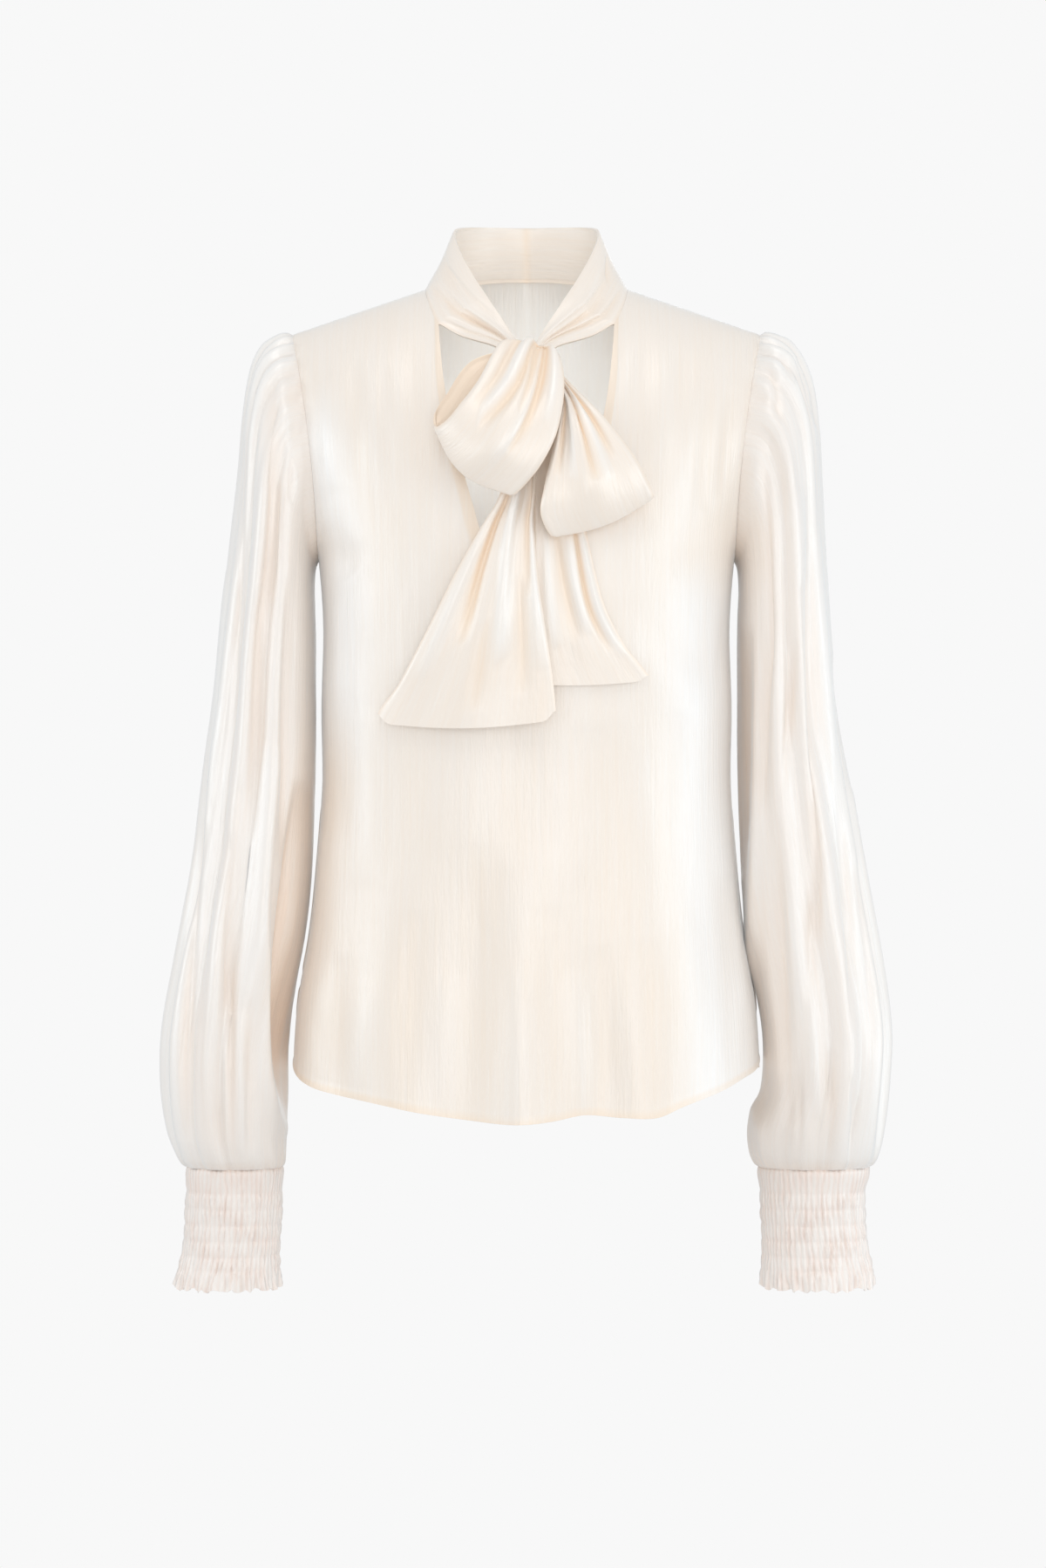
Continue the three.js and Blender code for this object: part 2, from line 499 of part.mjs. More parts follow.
function sleeveRings(side, table) {
  const rings = [];
  const armhole = [];
  for (let k = 0; k <= SLEEVE_POINTS; k += 1) {
    const angle = (2 * Math.PI * (k % SLEEVE_POINTS)) / SLEEVE_POINTS;
    const middle = (SHOULDER_DROP + UNDERARM_DROP) / 2;
    const drop = middle - Math.cos(angle) * (UNDERARM_DROP - middle);
    const x = armholeX(drop);
    const front = Math.sin(angle) >= 0 ? -1 : 1;
    const y = Math.abs(Math.sin(angle)) < 1e-6 ? 0 : formY(front, x, drop);
    armhole.push(new THREE.Vector3(side * (x + SEAM_GAP), y, -drop));
  }
  rings.push(armhole);
  table.forEach((row, index) => {
    const ring = [];
    const middle = new THREE.Vector3((row.outX + row.inX) / 2, 0, -(row.outDrop + row.inDrop) / 2);
    if (index < table.length - 1) middle.y = -SLEEVE_FORWARD * ease(0, table.length, index);
    for (let k = 0; k <= SLEEVE_POINTS; k += 1) {
      const angle = (2 * Math.PI * (k % SLEEVE_POINTS)) / SLEEVE_POINTS;
      const out = new THREE.Vector3(
        (Math.cos(angle) * (row.outX - row.inX)) / 2,
        -Math.sin(angle) * row.depth,
        (Math.cos(angle) * (row.inDrop - row.outDrop)) / 2,
      );
      out.setLength(out.length() + gather(angle, row.fold, index));
      const point = middle.clone().add(out);
      ring.push(point.set(side * point.x, point.y, point.z));
    }
    rings.push(ring);
  });
  return rings;
}

function sleeve(side, table) {
  const rings = sleeveRings(side, table);
  const centres = rings.map((ring) => {
    const sum = new THREE.Vector3();
    ring.slice(1).forEach((p) => sum.add(p));
    return sum.divideScalar(ring.length - 1);
  });
  const nearest = (p) => {
    const nearer = (a, b) => (Math.abs(a.z - p.z) < Math.abs(b.z - p.z) ? a : b);
    return centres.reduce(nearer);
  };
  const bottom = -table[table.length - 1].outDrop;
  const offSeams = (normal, p) => {
    const fromArmhole = Math.abs(Math.abs(p.x) - SEAM_GAP - armholeX(-p.z));
    const onArmhole = fromArmhole < EDGE_FIND && p.z > -UNDERARM_DROP - 1;
    if (onArmhole && normal.x * side > 0) normal.x = 0;
    if (Math.abs(p.z - bottom) < EDGE_FIND) normal.z = 0;
  };
  return clothWall([{ rows: rings }], SINGLE_CLOTH, nearest, offSeams);
}

// A shirred cuff: ribs stand out from a plain inside
function cuff(side, table) {
  const count = CUFF_RIBS * 2;
  const ringPoint = (row, k, out) => {
    const angle = (2 * Math.PI * k) / count;
    const across = (row.outX - row.inX) / 2 + out;
    const x = (row.outX + row.inX) / 2 + Math.cos(angle) * across;
    const y = -Math.sin(angle) * (row.depth + out);
    return new THREE.Vector3(side * x, y, -row.drop);
  };
  const outer = table.map((row, r) =>
    Array.from({ length: count }, (_, k) => {
      const uneven = 1 + RIB_UNEVEN * Math.sin(k * 2.3 + r * 1.7);
      const point = ringPoint(row, k, k % 2 ? 0 : row.rib * uneven);
      if (r === table.length - 1) point.z += Math.sin(k * 0.9) * row.rib * FRILL;
      return point;
    }),
  );
  const innerRows = table.filter((row, r) => r % 2 === 0);
  const innerRing = (row) => Array.from({ length: count }, (_, k) => ringPoint(row, k, -CUFF_WALL));
  const rings = [...outer, ...innerRows.map(innerRing).reverse()];
  const faces = [];
  for (let r = 0; r < rings.length; r += 1) {
    const next = (r + 1) % rings.length;
    for (let k = 0; k < count; k += 1) {
      const k1 = (k + 1) % count;
      const [a, b, c, d] = [r * count + k, r * count + k1, next * count + k1, next * count + k];
      if (side > 0) faces.push(a, b, c, a, c, d);
      else faces.push(a, c, b, a, d, c);
    }
  }
  return shellGeometry(rings.flat(), faces);
}

// The collar, from one end at the knot round the neck to the other. Its lower edge runs along
// the straight edges of the body's neckline, which are shared out along its first rows.
function necklineAt(place) {
  const points = [];
  for (let i = 0; i < NECK_COLUMNS; i += 1) {
    const { x, drop } = backNeckline(i / NECK_COLUMNS);
    points.push(bodyPoint(1, x, drop));
  }
  for (let i = NECK_COLUMNS; i >= 0; i -= 1) {
    const { x, drop } = frontNeckline(i / NECK_COLUMNS);
    points.push(bodyPoint(-1, x, drop));
  }
  points[NECK_COLUMNS].y = 0;
  const i = Math.min(points.length - 2, Math.floor(place));
  return points[i].clone().lerp(points[i + 1], place - i);
}

function collarHalf(mirror) {
  const corner = 2 * NECK_COLUMNS;
  const { x, y, z } = necklineAt(corner);
  const freeEdge = [{ x: x - SEAM_GAP, y, drop: -z - SEAM_GAP }, ...COLLAR_FREE_EDGE];
  const grid = [];
  for (let place = 0; place < COLLAR_TOP.length - 0.5; place += 0.5) {
    const low = necklineAt(Math.min(place, corner));
    low.add(new THREE.Vector3((-HALF_SEAM * 2.5 * low.x) / NECK_HALF, 0, SEAM_GAP));
    if (place > corner) {
      const edge = rowAt(freeEdge, place - corner);
      low.set(edge.x, edge.y, -edge.drop);
    }
    const row = rowAt(COLLAR_TOP, place);
    const top = new THREE.Vector3(row.x, row.y, -row.drop);
    const line = [];
    for (let a = 0; a <= COLLAR_POINTS; a += 1) {
      const v = a / COLLAR_POINTS;
      const point = low.clone().lerp(top, v);
      const out = new THREE.Vector3(point.x, point.y, 0).normalize();
      const hollow = COLLAR_HOLLOW * ease(6, 1, place);
      const crease = row.fold * Math.sin(2 * Math.PI * COLLAR_FOLDS * v);
      point.addScaledVector(out, (crease - hollow) * Math.sin(Math.PI * v));
      line.push(point.setX(place > 0 ? mirror * point.x : 0));
    }
    grid.push(line);
  }
  return grid;
}

function collar() {
  const halves = [-1, 1].map((mirror) => ({ rows: collarHalf(mirror), flip: mirror > 0 }));
  const inside = (p) => new THREE.Vector3(0, 0, p.z);
  const level = (normal, p) => {
    if (-p.z < FRONT_ROWS[0].centreDrop) normal.z = 0;
  };
  return clothWall(halves, DOUBLE_CLOTH, inside, level);
}

// A band of the bow, along a table of sections
function band(table, steps, across, folds, inside) {
  const rows = [];
  for (let s = 0; s <= steps; s += 1) {
    const row = rowAt(table, (s / steps) * (table.length - 1));
    const wide = Math.hypot(row.bx - row.ax, row.bDrop - row.aDrop);
    const aside = { x: -(row.bDrop - row.aDrop) / wide, drop: (row.bx - row.ax) / wide };
    const line = [];
    for (let a = 0; a <= across; a += 1) {
      const v = a / across;
      const swell = Math.sin(Math.PI * v);
      const x = lerp(row.ax, row.bx, v) + aside.x * row.reach * swell;
      const drop = lerp(row.aDrop, row.bDrop, v) + aside.drop * row.reach * swell;
      const gathers = row.fold * Math.cos(2 * Math.PI * folds * v) * Math.sin(Math.PI * v) ** 0.5;
      const off = lerp(row.aOff, row.bOff, v) + row.belly * swell + gathers;
      line.push(new THREE.Vector3(x, formY(-1, x, drop) - off, -drop));
    }
    rows.push(line);
  }
  return clothWall([{ rows }], DOUBLE_CLOTH, inside);
}

function knotShape(grow) {
  const geometry = new THREE.SphereGeometry(1, 18, 12);
  const position = geometry.attributes.position;
  const middle = new THREE.Vector3(KNOT.x, formY(-1, KNOT.x, KNOT.drop) - KNOT.off, -KNOT.drop);
  for (let i = 0; i < position.count; i += 1) {
    const p = new THREE.Vector3().fromBufferAttribute(position, i);
    const wrap = 1 + KNOT_WRAP * Math.cos(7 * p.x + 2 * p.y);
    const halfX = KNOT.halfX * wrap + grow;
    const halfY = KNOT.halfY * wrap + grow;
    p.set(p.x * halfX, p.z * halfY, p.y * (KNOT.halfZ + grow)).add(middle);
    position.setXYZ(i, p.x, p.y, p.z);
  }
  const faces = Array.from(geometry.index.array);
  for (let i = 0; i < faces.length; i += 3) {
    [faces[i + 1], faces[i + 2]] = [faces[i + 2], faces[i + 1]];
  }
  geometry.setIndex(faces);
  return geometry;
}

// Solids, for cutting the ends of the ties where they enter the knot
const wasm = await Module();
wasm.setup();

function solid(geometry) {
  const bare = geometry.clone();
  bare.deleteAttribute("normal");
  bare.deleteAttribute("uv");
  const merged = mergeVertices(bare, 1e-4);
  const mesh = new wasm.Mesh({
    numProp: 3,
    vertProperties: new Float32Array(merged.attributes.position.array),
    triVerts: new Uint32Array(merged.index.array),
  });
  return new wasm.Manifold(mesh);
}

function cutBy(geometry, tool) {
  const mesh = solid(geometry).subtract(solid(tool)).getMesh();
  const cut = new THREE.BufferGeometry();
  cut.setAttribute("position", new THREE.BufferAttribute(mesh.vertProperties, 3));
  cut.setIndex(new THREE.BufferAttribute(mesh.triVerts, 1));
  cut.computeVertexNormals();
  return cut;
}

const knot = knotShape(0);
const knotClearance = knotShape(KNOT_CLEARANCE);
const besideKnot = (geometry) => cutBy(geometry, knotClearance);
const bandInside = (x, drop, off) => () => new THREE.Vector3(x, formY(-1, x, drop) - off, -drop);
const rightLoop = band(RIGHT_LOOP, 22, 8, 2, bandInside(-20, 110, 26));
const leftLoop = band(LEFT_LOOP, 20, 8, 2, bandInside(46, 135, 16));
const rightTail = band(RIGHT_TAIL, 12, 8, 2, axisInside);
const leftTail = band(LEFT_TAIL, 12, 7, 1.5, axisInside);

const cloth = (colour) => new THREE.MeshStandardMaterial({ color: colour, roughness: 0.42 });
const bodyCloth = cloth(0xf4ece4);
const sleeveCloth = cloth(0xf5ede6);
const tieCloth = cloth(0xf7eadd);
const cuffCloth = cloth(0xf1e2da);

const blouse = new THREE.Group();
function addPiece(name, geometry, material) {
  const mesh = new THREE.Mesh(geometry, material);
  mesh.name = name;
  blouse.add(mesh);
}

addPiece("front", bodyPanel(-1, FRONT_ROWS, frontNeckline, 12, frontHem), bodyCloth);
addPiece("back", bodyPanel(1, BACK_ROWS, backNeckline, 10, backHem), bodyCloth);
addPiece("sleeve_right", sleeve(-1, RIGHT_SLEEVE), sleeveCloth);
addPiece("sleeve_left", sleeve(1, LEFT_SLEEVE), sleeveCloth);
addPiece("cuff_right", cuff(-1, RIGHT_CUFF), cuffCloth);
addPiece("cuff_left", cuff(1, LEFT_CUFF), cuffCloth);
addPiece("collar", besideKnot(collar()), tieCloth);
addPiece("bow_knot", knot, tieCloth);
addPiece("bow_loop_right", besideKnot(rightLoop), tieCloth);
addPiece("bow_loop_left", besideKnot(leftLoop), tieCloth);
addPiece("bow_tail_right", besideKnot(rightTail), tieCloth);
addPiece("bow_tail_left", besideKnot(leftTail), tieCloth);

export default blouse;
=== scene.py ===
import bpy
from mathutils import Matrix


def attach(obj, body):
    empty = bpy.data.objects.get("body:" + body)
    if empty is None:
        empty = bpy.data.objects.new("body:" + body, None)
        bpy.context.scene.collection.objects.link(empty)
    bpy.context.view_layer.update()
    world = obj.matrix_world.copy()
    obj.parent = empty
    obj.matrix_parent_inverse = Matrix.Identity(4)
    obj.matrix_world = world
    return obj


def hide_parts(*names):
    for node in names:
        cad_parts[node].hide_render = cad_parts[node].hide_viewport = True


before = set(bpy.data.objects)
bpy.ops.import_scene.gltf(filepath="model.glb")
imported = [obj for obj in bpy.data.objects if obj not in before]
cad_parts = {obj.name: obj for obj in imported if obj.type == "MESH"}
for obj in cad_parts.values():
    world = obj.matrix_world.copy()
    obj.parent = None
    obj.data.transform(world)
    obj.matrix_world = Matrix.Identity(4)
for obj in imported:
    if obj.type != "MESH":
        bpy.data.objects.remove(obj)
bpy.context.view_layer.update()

import math

import bmesh
import bpy
import numpy as np
from mathutils import Vector

# Camera, light and ground
# A plain product picture: one long lens straight on, a bright even room, and weak soft boxes in
# front, above, behind and at the sides. The cool ones give satin its silvery bands of sheen.
CAMERA_PLACE = (-0.0026, -3.2, -0.3736)
LENS_MM = 97.07
SENSOR_MM = 36
scene = bpy.context.scene
camera_data = bpy.data.cameras.new("photo_camera")
camera_data.sensor_width = SENSOR_MM
camera_data.lens = LENS_MM
camera_data.clip_end = 20
camera = bpy.data.objects.new("photo_camera", camera_data)
camera.location = CAMERA_PLACE
camera.rotation_euler = (math.pi / 2, 0, 0)
scene.collection.objects.link(camera)
scene.camera = camera
scene.view_settings.view_transform = "Standard"

BACKDROP_BRIGHTNESS = 0.939
ROOM_LIGHT = 0.7
room = bpy.data.worlds.new("room")
room.use_nodes = True
seen = room.node_tree.nodes.new("ShaderNodeLightPath")
level = room.node_tree.nodes.new("ShaderNodeMapRange")
level.inputs["To Min"].default_value = ROOM_LIGHT
level.inputs["To Max"].default_value = BACKDROP_BRIGHTNESS
room.node_tree.links.new(seen.outputs["Is Camera Ray"], level.inputs["Value"])
backdrop = room.node_tree.nodes["Background"]
backdrop.inputs["Color"].default_value = (1, 1, 1, 1)
room.node_tree.links.new(level.outputs["Result"], backdrop.inputs["Strength"])
scene.world = room

WHITE_LIGHT = (1, 1, 1)
COOL_LIGHT = (0.78, 0.9, 1)
# name, place, what it is turned to, width, height, watts, colour
SOFT_BOXES = [
    ("front_box", (0.35, -2.9, -0.15), (0, 0, -0.3), 1.5, 1.5, 9.5, WHITE_LIGHT),
    ("left_box", (-2.1, -0.55, -0.08), (0, 0, -0.2), 0.6, 0.6, 4, COOL_LIGHT),
    ("right_box", (2.1, -0.15, -0.7), (0, 0, -0.55), 1.2, 0.55, 4, COOL_LIGHT),
    ("left_front_box", (-1.8, -1.3, -0.2), (0, 0, -0.3), 0.5, 1.1, 2.2, COOL_LIGHT),
    ("right_front_box", (1.8, -1.3, -0.15), (0, 0, -0.3), 0.5, 1.1, 5.4, COOL_LIGHT),
    ("top_box", (0, -1.2, 1.6), (0, 0, -0.3), 1.6, 0.8, 6, WHITE_LIGHT),
    ("back_box", (0.3, 2.9, 0.1), (0, 0, -0.3), 1.5, 1.5, 12, WHITE_LIGHT),
    ("inner_box", (0, -0.02, -0.115), (0, 0.1, -0.03), 0.16, 0.1, 0.09, COOL_LIGHT),
]
for name, place, target, width, height, watts, colour in SOFT_BOXES:
    light = bpy.data.lights.new(name, "AREA")
    light.shape = "RECTANGLE"
    light.size = width
    light.size_y = height
    light.energy = watts
    light.color = colour
    lamp = bpy.data.objects.new(name, light)
    lamp.location = place
    lamp.rotation_euler = (Vector(target) - Vector(place)).to_track_quat("-Z", "Y").to_euler()
    lamp.visible_camera = False
    scene.collection.objects.link(lamp)

FLOOR_RADIUS = 1.3
FLOOR_HEIGHT = -1.25
floor_form = bmesh.new()
bmesh.ops.create_circle(floor_form, cap_ends=True, segments=96, radius=FLOOR_RADIUS)
bmesh.ops.translate(floor_form, vec=(0, 0, FLOOR_HEIGHT), verts=floor_form.verts)
floor_mesh = bpy.data.meshes.new("floor")
floor_form.to_mesh(floor_mesh)
floor = bpy.data.objects.new("floor", floor_mesh)
scene.collection.objects.link(floor)
floor_paint = bpy.data.materials.new("pale_floor")
floor_paint.use_nodes = True
shine = floor_paint.node_tree.nodes["Principled BSDF"]
shine.inputs["Base Color"].default_value = (0, 0, 0, 1)
shine.inputs["Specular IOR Level"].default_value = 0
shine.inputs["Emission Color"].default_value = (1, 1, 1, 1)
shine.inputs["Emission Strength"].default_value = BACKDROP_BRIGHTNESS
floor_mesh.materials.append(floor_paint)
floor.visible_diffuse = False
floor.visible_glossy = False

# Front
# One panel of ivory satin with a deep keyhole opening, sewn to the back at the shoulders and
# sides. The opening is faced with the same cloth and the hem is rolled narrow.
MM = 0.001
CLOTH = 1.0
HALF_SEAM = 0.2
NECK_HALF = 76
NECK_SLOPE = 0.6
NECK_CORNER = 1.6
NECK_COLUMNS = 4
SHOULDER_HALF = 177
SHOULDER_DROP = 34
UNDERARM_DROP = 205
UNDERARM_HALF = 157
SIDE_HEM_DROP = 588
COLUMN_SPREAD = 0.8
EDGE_PULL = 4
CAP_DEPTH = 130
CAP_ROUND = 2.2
SIDE_ROUND = 2.5
HEM_WAVE = 5
HEM_WAVE_LENGTH = 100
HEM_WAVE_START = 380
HEM_WAVE_FULL = 600

# drop, half width, front depth, back depth
BODY_FORM = np.array([
    (-60, 186, 82, 88), (0, 188, 89, 93), (40, 187, 95, 98), (80, 184, 101, 102),
    (120, 179, 107, 104), (160, 168, 113, 103), (190, 160.5, 117, 100), (205, 157, 118, 98.5),
    (255, 153.5, 117, 93), (316, 155, 111, 88), (374, 154.5, 107, 86), (450, 160, 106, 89),
    (490, 164.5, 107, 92), (540, 173, 109, 96), (590, 176.5, 111, 99), (640, 178, 113, 101),
], float)
# drop at the middle, x at the middle, drop at the side
FRONT_ROWS = np.array([
    (33, 65, 34), (42, 64.4, 41), (55, 63.2, 52), (75, 61, 70), (100, 57, 95), (125, 51.5, 122),
    (148, 45.5, 148), (170, 39, 172), (190, 33.3, 192), (210, 25.8, 205), (230, 14.5, 222),
    (246, 0, 245), (275, 0, 275), (315, 0, 312), (360, 0, 352), (405, 0, 394), (450, 0, 437),
    (495, 0, 479), (540, 0, 520), (583, 0, 557), (622, 0, 588),
], float)
OPENING_FOOT_ROW = 11
# x, drop
FRONT_HEM = np.array([
    (-178, 579), (-174, 589), (-166, 596), (-152, 601), (-117, 607), (-76, 615), (-44, 619.5),
    (-8, 622.5), (20, 620), (42, 616), (70, 618), (96, 618), (114, 611), (146, 600), (162, 592),
    (173, 586), (178, 578),
], float)


def along(keys, values, at):
    """A table's column between its rows, on a smooth curve through them."""
    last = len(keys) - 1
    at = np.clip(at, keys[0], keys[-1])
    i = np.clip(np.searchsorted(keys, at) - 1, 0, last - 1)
    before = np.maximum(np.arange(last + 1) - 1, 0)
    after = np.minimum(np.arange(last + 1) + 1, last)
    slope = (values[after] - values[before]) / (keys[after] - keys[before])
    width = keys[i + 1] - keys[i]
    t = (at - keys[i]) / width
    rise = values[i + 1] - values[i]
    bend = (1 - t) * (slope[i] * width - rise) - t * (slope[i + 1] * width - rise)
    return values[i] + rise * t + t * (1 - t) * bend


def look_up(table, column, at):
    """One column of a table, at values of its first column."""
    return along(table[:, 0], table[:, column], at)


def by_row(table, at):
    """All the columns of a table, at row numbers that may lie between its rows."""
    numbers = np.arange(len(table), dtype=float)
    return [along(numbers, column, at) for column in table.T]


def ease(start, end, value):
    t = np.clip((value - start) / (end - start), 0, 1)
    return t * t * (3 - 2 * t)


def mix(a, b, t):
    return a + (b - a) * t


def bell(distance, width):
    return np.exp(-((distance / width) ** 2))


def shoulder_line(x):
    """How high the shoulder seam stands at x."""
    out = np.abs(x) - NECK_HALF
    return np.where(out > 0, -out * SHOULDER_DROP / (SHOULDER_HALF - NECK_HALF), -out * NECK_SLOPE)


def form_y(side, x, drop):
    """The y of the form that the body hangs on, at its front (-1) or its back (1)."""
    depth = look_up(BODY_FORM, 2 if side < 0 else 3, drop)
    across = np.minimum(1, np.abs(x) / look_up(BODY_FORM, 1, drop))
    round_off = (1 - across**SIDE_ROUND) ** (1 / SIDE_ROUND)
    height = np.clip((CAP_DEPTH - drop) / (CAP_DEPTH + shoulder_line(x)), 0, 1)
    cap = (1 - height**CAP_ROUND) ** (1 / CAP_ROUND)
    fade = np.maximum(0, 1 - (x / SHOULDER_HALF) ** 4)
    wave = HEM_WAVE * ease(HEM_WAVE_START, HEM_WAVE_FULL, drop) * fade
    wave = wave * np.cos(2 * np.pi * x / HEM_WAVE_LENGTH)
    return side * (depth * round_off * cap + wave)


def form_normal(side, x, drop):
    step = 0.5
    slope_x = (form_y(side, x + step, drop) - form_y(side, x - step, drop)) / (2 * step)
    slope_drop = (form_y(side, x, drop + step) - form_y(side, x, drop - step)) / (2 * step)
    normal = side * np.stack([-slope_x, np.ones_like(slope_x), slope_drop], -1)
    return normal / np.linalg.norm(normal, axis=-1, keepdims=True)


def armhole_x(drop):
    up = (UNDERARM_DROP - drop) / (UNDERARM_DROP - SHOULDER_DROP)
    return UNDERARM_HALF + (SHOULDER_HALF - UNDERARM_HALF) * up * up


def side_x(drop):
    return np.where(drop < UNDERARM_DROP, armhole_x(drop), look_up(BODY_FORM, 1, drop))


def front_neckline(t):
    down = (1 - t) ** 2
    return mix(NECK_HALF, FRONT_ROWS[0, 1], down**NECK_CORNER), FRONT_ROWS[0, 0] * down


def front_hem(x):
    return look_up(FRONT_HEM, 1, x)


def panel_half(mirror, rows, neckline, cad_columns, hem, fine_rows, fine_columns):
    """x and drop of one half of a panel, from its middle line to its side."""
    place = np.linspace(0, len(rows) - 1, fine_rows + 1)[:, None]
    step = np.linspace(0, cad_columns, fine_columns + 1)[None, :]
    middle_drop, middle_x, side_drop = by_row(rows, place)
    middle_x = np.maximum(0, middle_x)
    u = np.sin(np.pi / 2 * step / cad_columns) ** COLUMN_SPREAD
    neck_u = np.sin(np.pi / 2 * NECK_COLUMNS / cad_columns) ** COLUMN_SPREAD
    neck_x, neck_drop = neckline(np.minimum(1, step / NECK_COLUMNS))
    out_x = mix(NECK_HALF, SHOULDER_HALF, (u - neck_u) / (1 - neck_u))
    top_x = np.where(step <= NECK_COLUMNS, neck_x, out_x)
    top_drop = np.where(step <= NECK_COLUMNS, neck_drop, -shoulder_line(out_x))
    v = (side_drop - SHOULDER_DROP) / (SIDE_HEM_DROP - SHOULDER_DROP)
    first_x = mix(rows[0, 1], SHOULDER_HALF, u)
    first_drop = mix(rows[0, 0], SHOULDER_DROP, u)
    last_drop = mix(rows[-1, 0], rows[-1, 2], u)
    near_top = (1 - v) ** EDGE_PULL
    x = mix(middle_x, side_x(side_drop), u) + near_top * (top_x - first_x)
    hem_drop = hem(mirror * u * side_x(np.float64(SIDE_HEM_DROP)))
    drop = mix(middle_drop, side_drop, u)
    drop = drop + near_top * (top_drop - first_drop) + v**EDGE_PULL * (hem_drop - last_drop)
    return mirror * x, drop, place + 0 * step, u + 0 * place


def fold_relief(x, drop, folds):
    """Soft ridges and troughs. A fold has a height, a width to its left and one to its right,
    and the points that it runs through. It fades out at both ends."""
    relief = np.zeros(np.broadcast(x, drop).shape)
    for height, left, right, path in folds:
        path = np.array(path, float)
        path = np.stack(by_row(path, np.linspace(0, len(path) - 1, 3 * len(path))), -1)
        reach = 2.6 * max(left, right)
        low, high = path.min(0) - reach, path.max(0) + reach
        near = (x > low[0]) & (x < high[0]) & (drop > low[1]) & (drop < high[1])
        if not near.any():
            continue
        px, pd = x[near], drop[near]
        closest = np.full(px.shape, 1e9)
        aside = np.zeros(px.shape)
        run = np.zeros(px.shape)
        start = 0
        for (x0, d0), (x1, d1) in zip(path[:-1], path[1:]):
            dx, dd = x1 - x0, d1 - d0
            length = math.hypot(dx, dd)
            t = np.clip(((px - x0) * dx + (pd - d0) * dd) / length**2, 0, 1)
            away_x, away_d = px - x0 - t * dx, pd - d0 - t * dd
            distance = np.hypot(away_x, away_d)
            better = distance < closest
            closest = np.where(better, distance, closest)
            aside = np.where(better, away_x * dd - away_d * dx, aside)
            run = np.where(better, start + t * length, run)
            start += length
        share = run / start
        taper = np.clip(4 * share * (1 - share), 0, 1) ** 0.7
        width = np.where(aside < 0, left, right)
        relief[near] += height * taper * bell(closest, width)
    return relief


def loose_folds(seed, count, low, high, height, width, length):
    """Many small upright creases, each with its own size, as satin takes when it is worn."""
    chance = np.random.default_rng(seed)
    folds = []
    for _ in range(count):
        x = chance.uniform(low[0], high[0])
        drop = chance.uniform(low[1], high[1])
        long = length * chance.uniform(0.5, 1.5)
        lean = chance.uniform(-0.12, 0.12) * long
        size = height * chance.uniform(0.4, 1) * chance.choice([-1, 1])
        wide = width * chance.uniform(0.6, 1.4)
        middle = (x + lean / 2 + chance.uniform(-1, 1) * wide / 2, drop + long / 2)
        folds.append((size, wide, wide, [(x, drop), middle, (x + lean, drop + long)]))
    return folds


def lay_satin(mesh, place, tone_and_painted_light):
    """Gives each point of a mesh its place in the cut cloth and its tone, which holds painted shade
    and sheen as well as the cloth's own colour.
    """
    loops = np.empty(len(mesh.loops), int)
    mesh.loops.foreach_get("vertex_index", loops)
    layer = mesh.uv_layers.new(name="cloth")
    layer.data.foreach_set("uv", place.reshape(-1, 2)[loops].reshape(-1))
    tint = mesh.attributes.new("tone_and_painted_light", "FLOAT", "POINT")
    tint.data.foreach_set("value", tone_and_painted_light.reshape(-1))


def piece_from(form, name, finish):
    mesh = bpy.data.meshes.new(name)
    form.to_mesh(mesh)
    form.free()
    mesh.shade_smooth()
    mesh.materials.append(finish)
    piece = bpy.data.objects.new(name, mesh)
    scene.collection.objects.link(piece)
    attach(piece, "root")
    return piece


def cloth_piece(name, grids, thickness, finish, inside):
    """A shell of cloth from grids of points on its outer face, in millimetres. Each grid comes
    with its tone, 0 where it is pale and 1 where it is peach, painted shade and sheen included,
    and with its place in the cut cloth, or None where the grid itself runs along the grain."""
    whole = bmesh.new()
    for points, tone_and_painted_light, cut in grids:
        rows, columns = points.shape[:2]
        grid = bmesh.new()
        bmesh.ops.create_grid(grid, x_segments=columns - 1, y_segments=rows - 1, size=0.5)
        part = bpy.data.meshes.new("part")
        grid.to_mesh(part)
        grid.free()
        part.vertices.foreach_set("co", (points * MM).reshape(-1))
        if cut is None:
            across = np.linalg.norm(np.diff(points, axis=1), axis=-1).mean(0)
            down = np.linalg.norm(np.diff(points, axis=0), axis=-1).mean(1)
            cut = np.empty((rows, columns, 2))
            cut[..., 0] = np.append(0, np.cumsum(across))
            cut[..., 1] = np.append(0, np.cumsum(down))[:, None]
        lay_satin(part, cut * MM, np.broadcast_to(tone_and_painted_light, (rows, columns)))
        face = np.cross(np.gradient(points, axis=1), np.gradient(points, axis=0))
        outward = (face * (points - inside(points))).sum()
        start = len(whole.faces)
        whole.from_mesh(part)
        whole.faces.ensure_lookup_table()
        if outward < 0:
            bmesh.ops.reverse_faces(whole, faces=whole.faces[start:])
        bpy.data.meshes.remove(part)
    bmesh.ops.remove_doubles(whole, verts=whole.verts, dist=0.00002)
    for edge in whole.edges:
        edge.smooth = not edge.is_boundary
    piece = piece_from(whole, name, finish)
    shell = piece.modifiers.new("thickness", "SOLIDIFY")
    shell.thickness = thickness * MM
    shell.offset = -1
    return piece


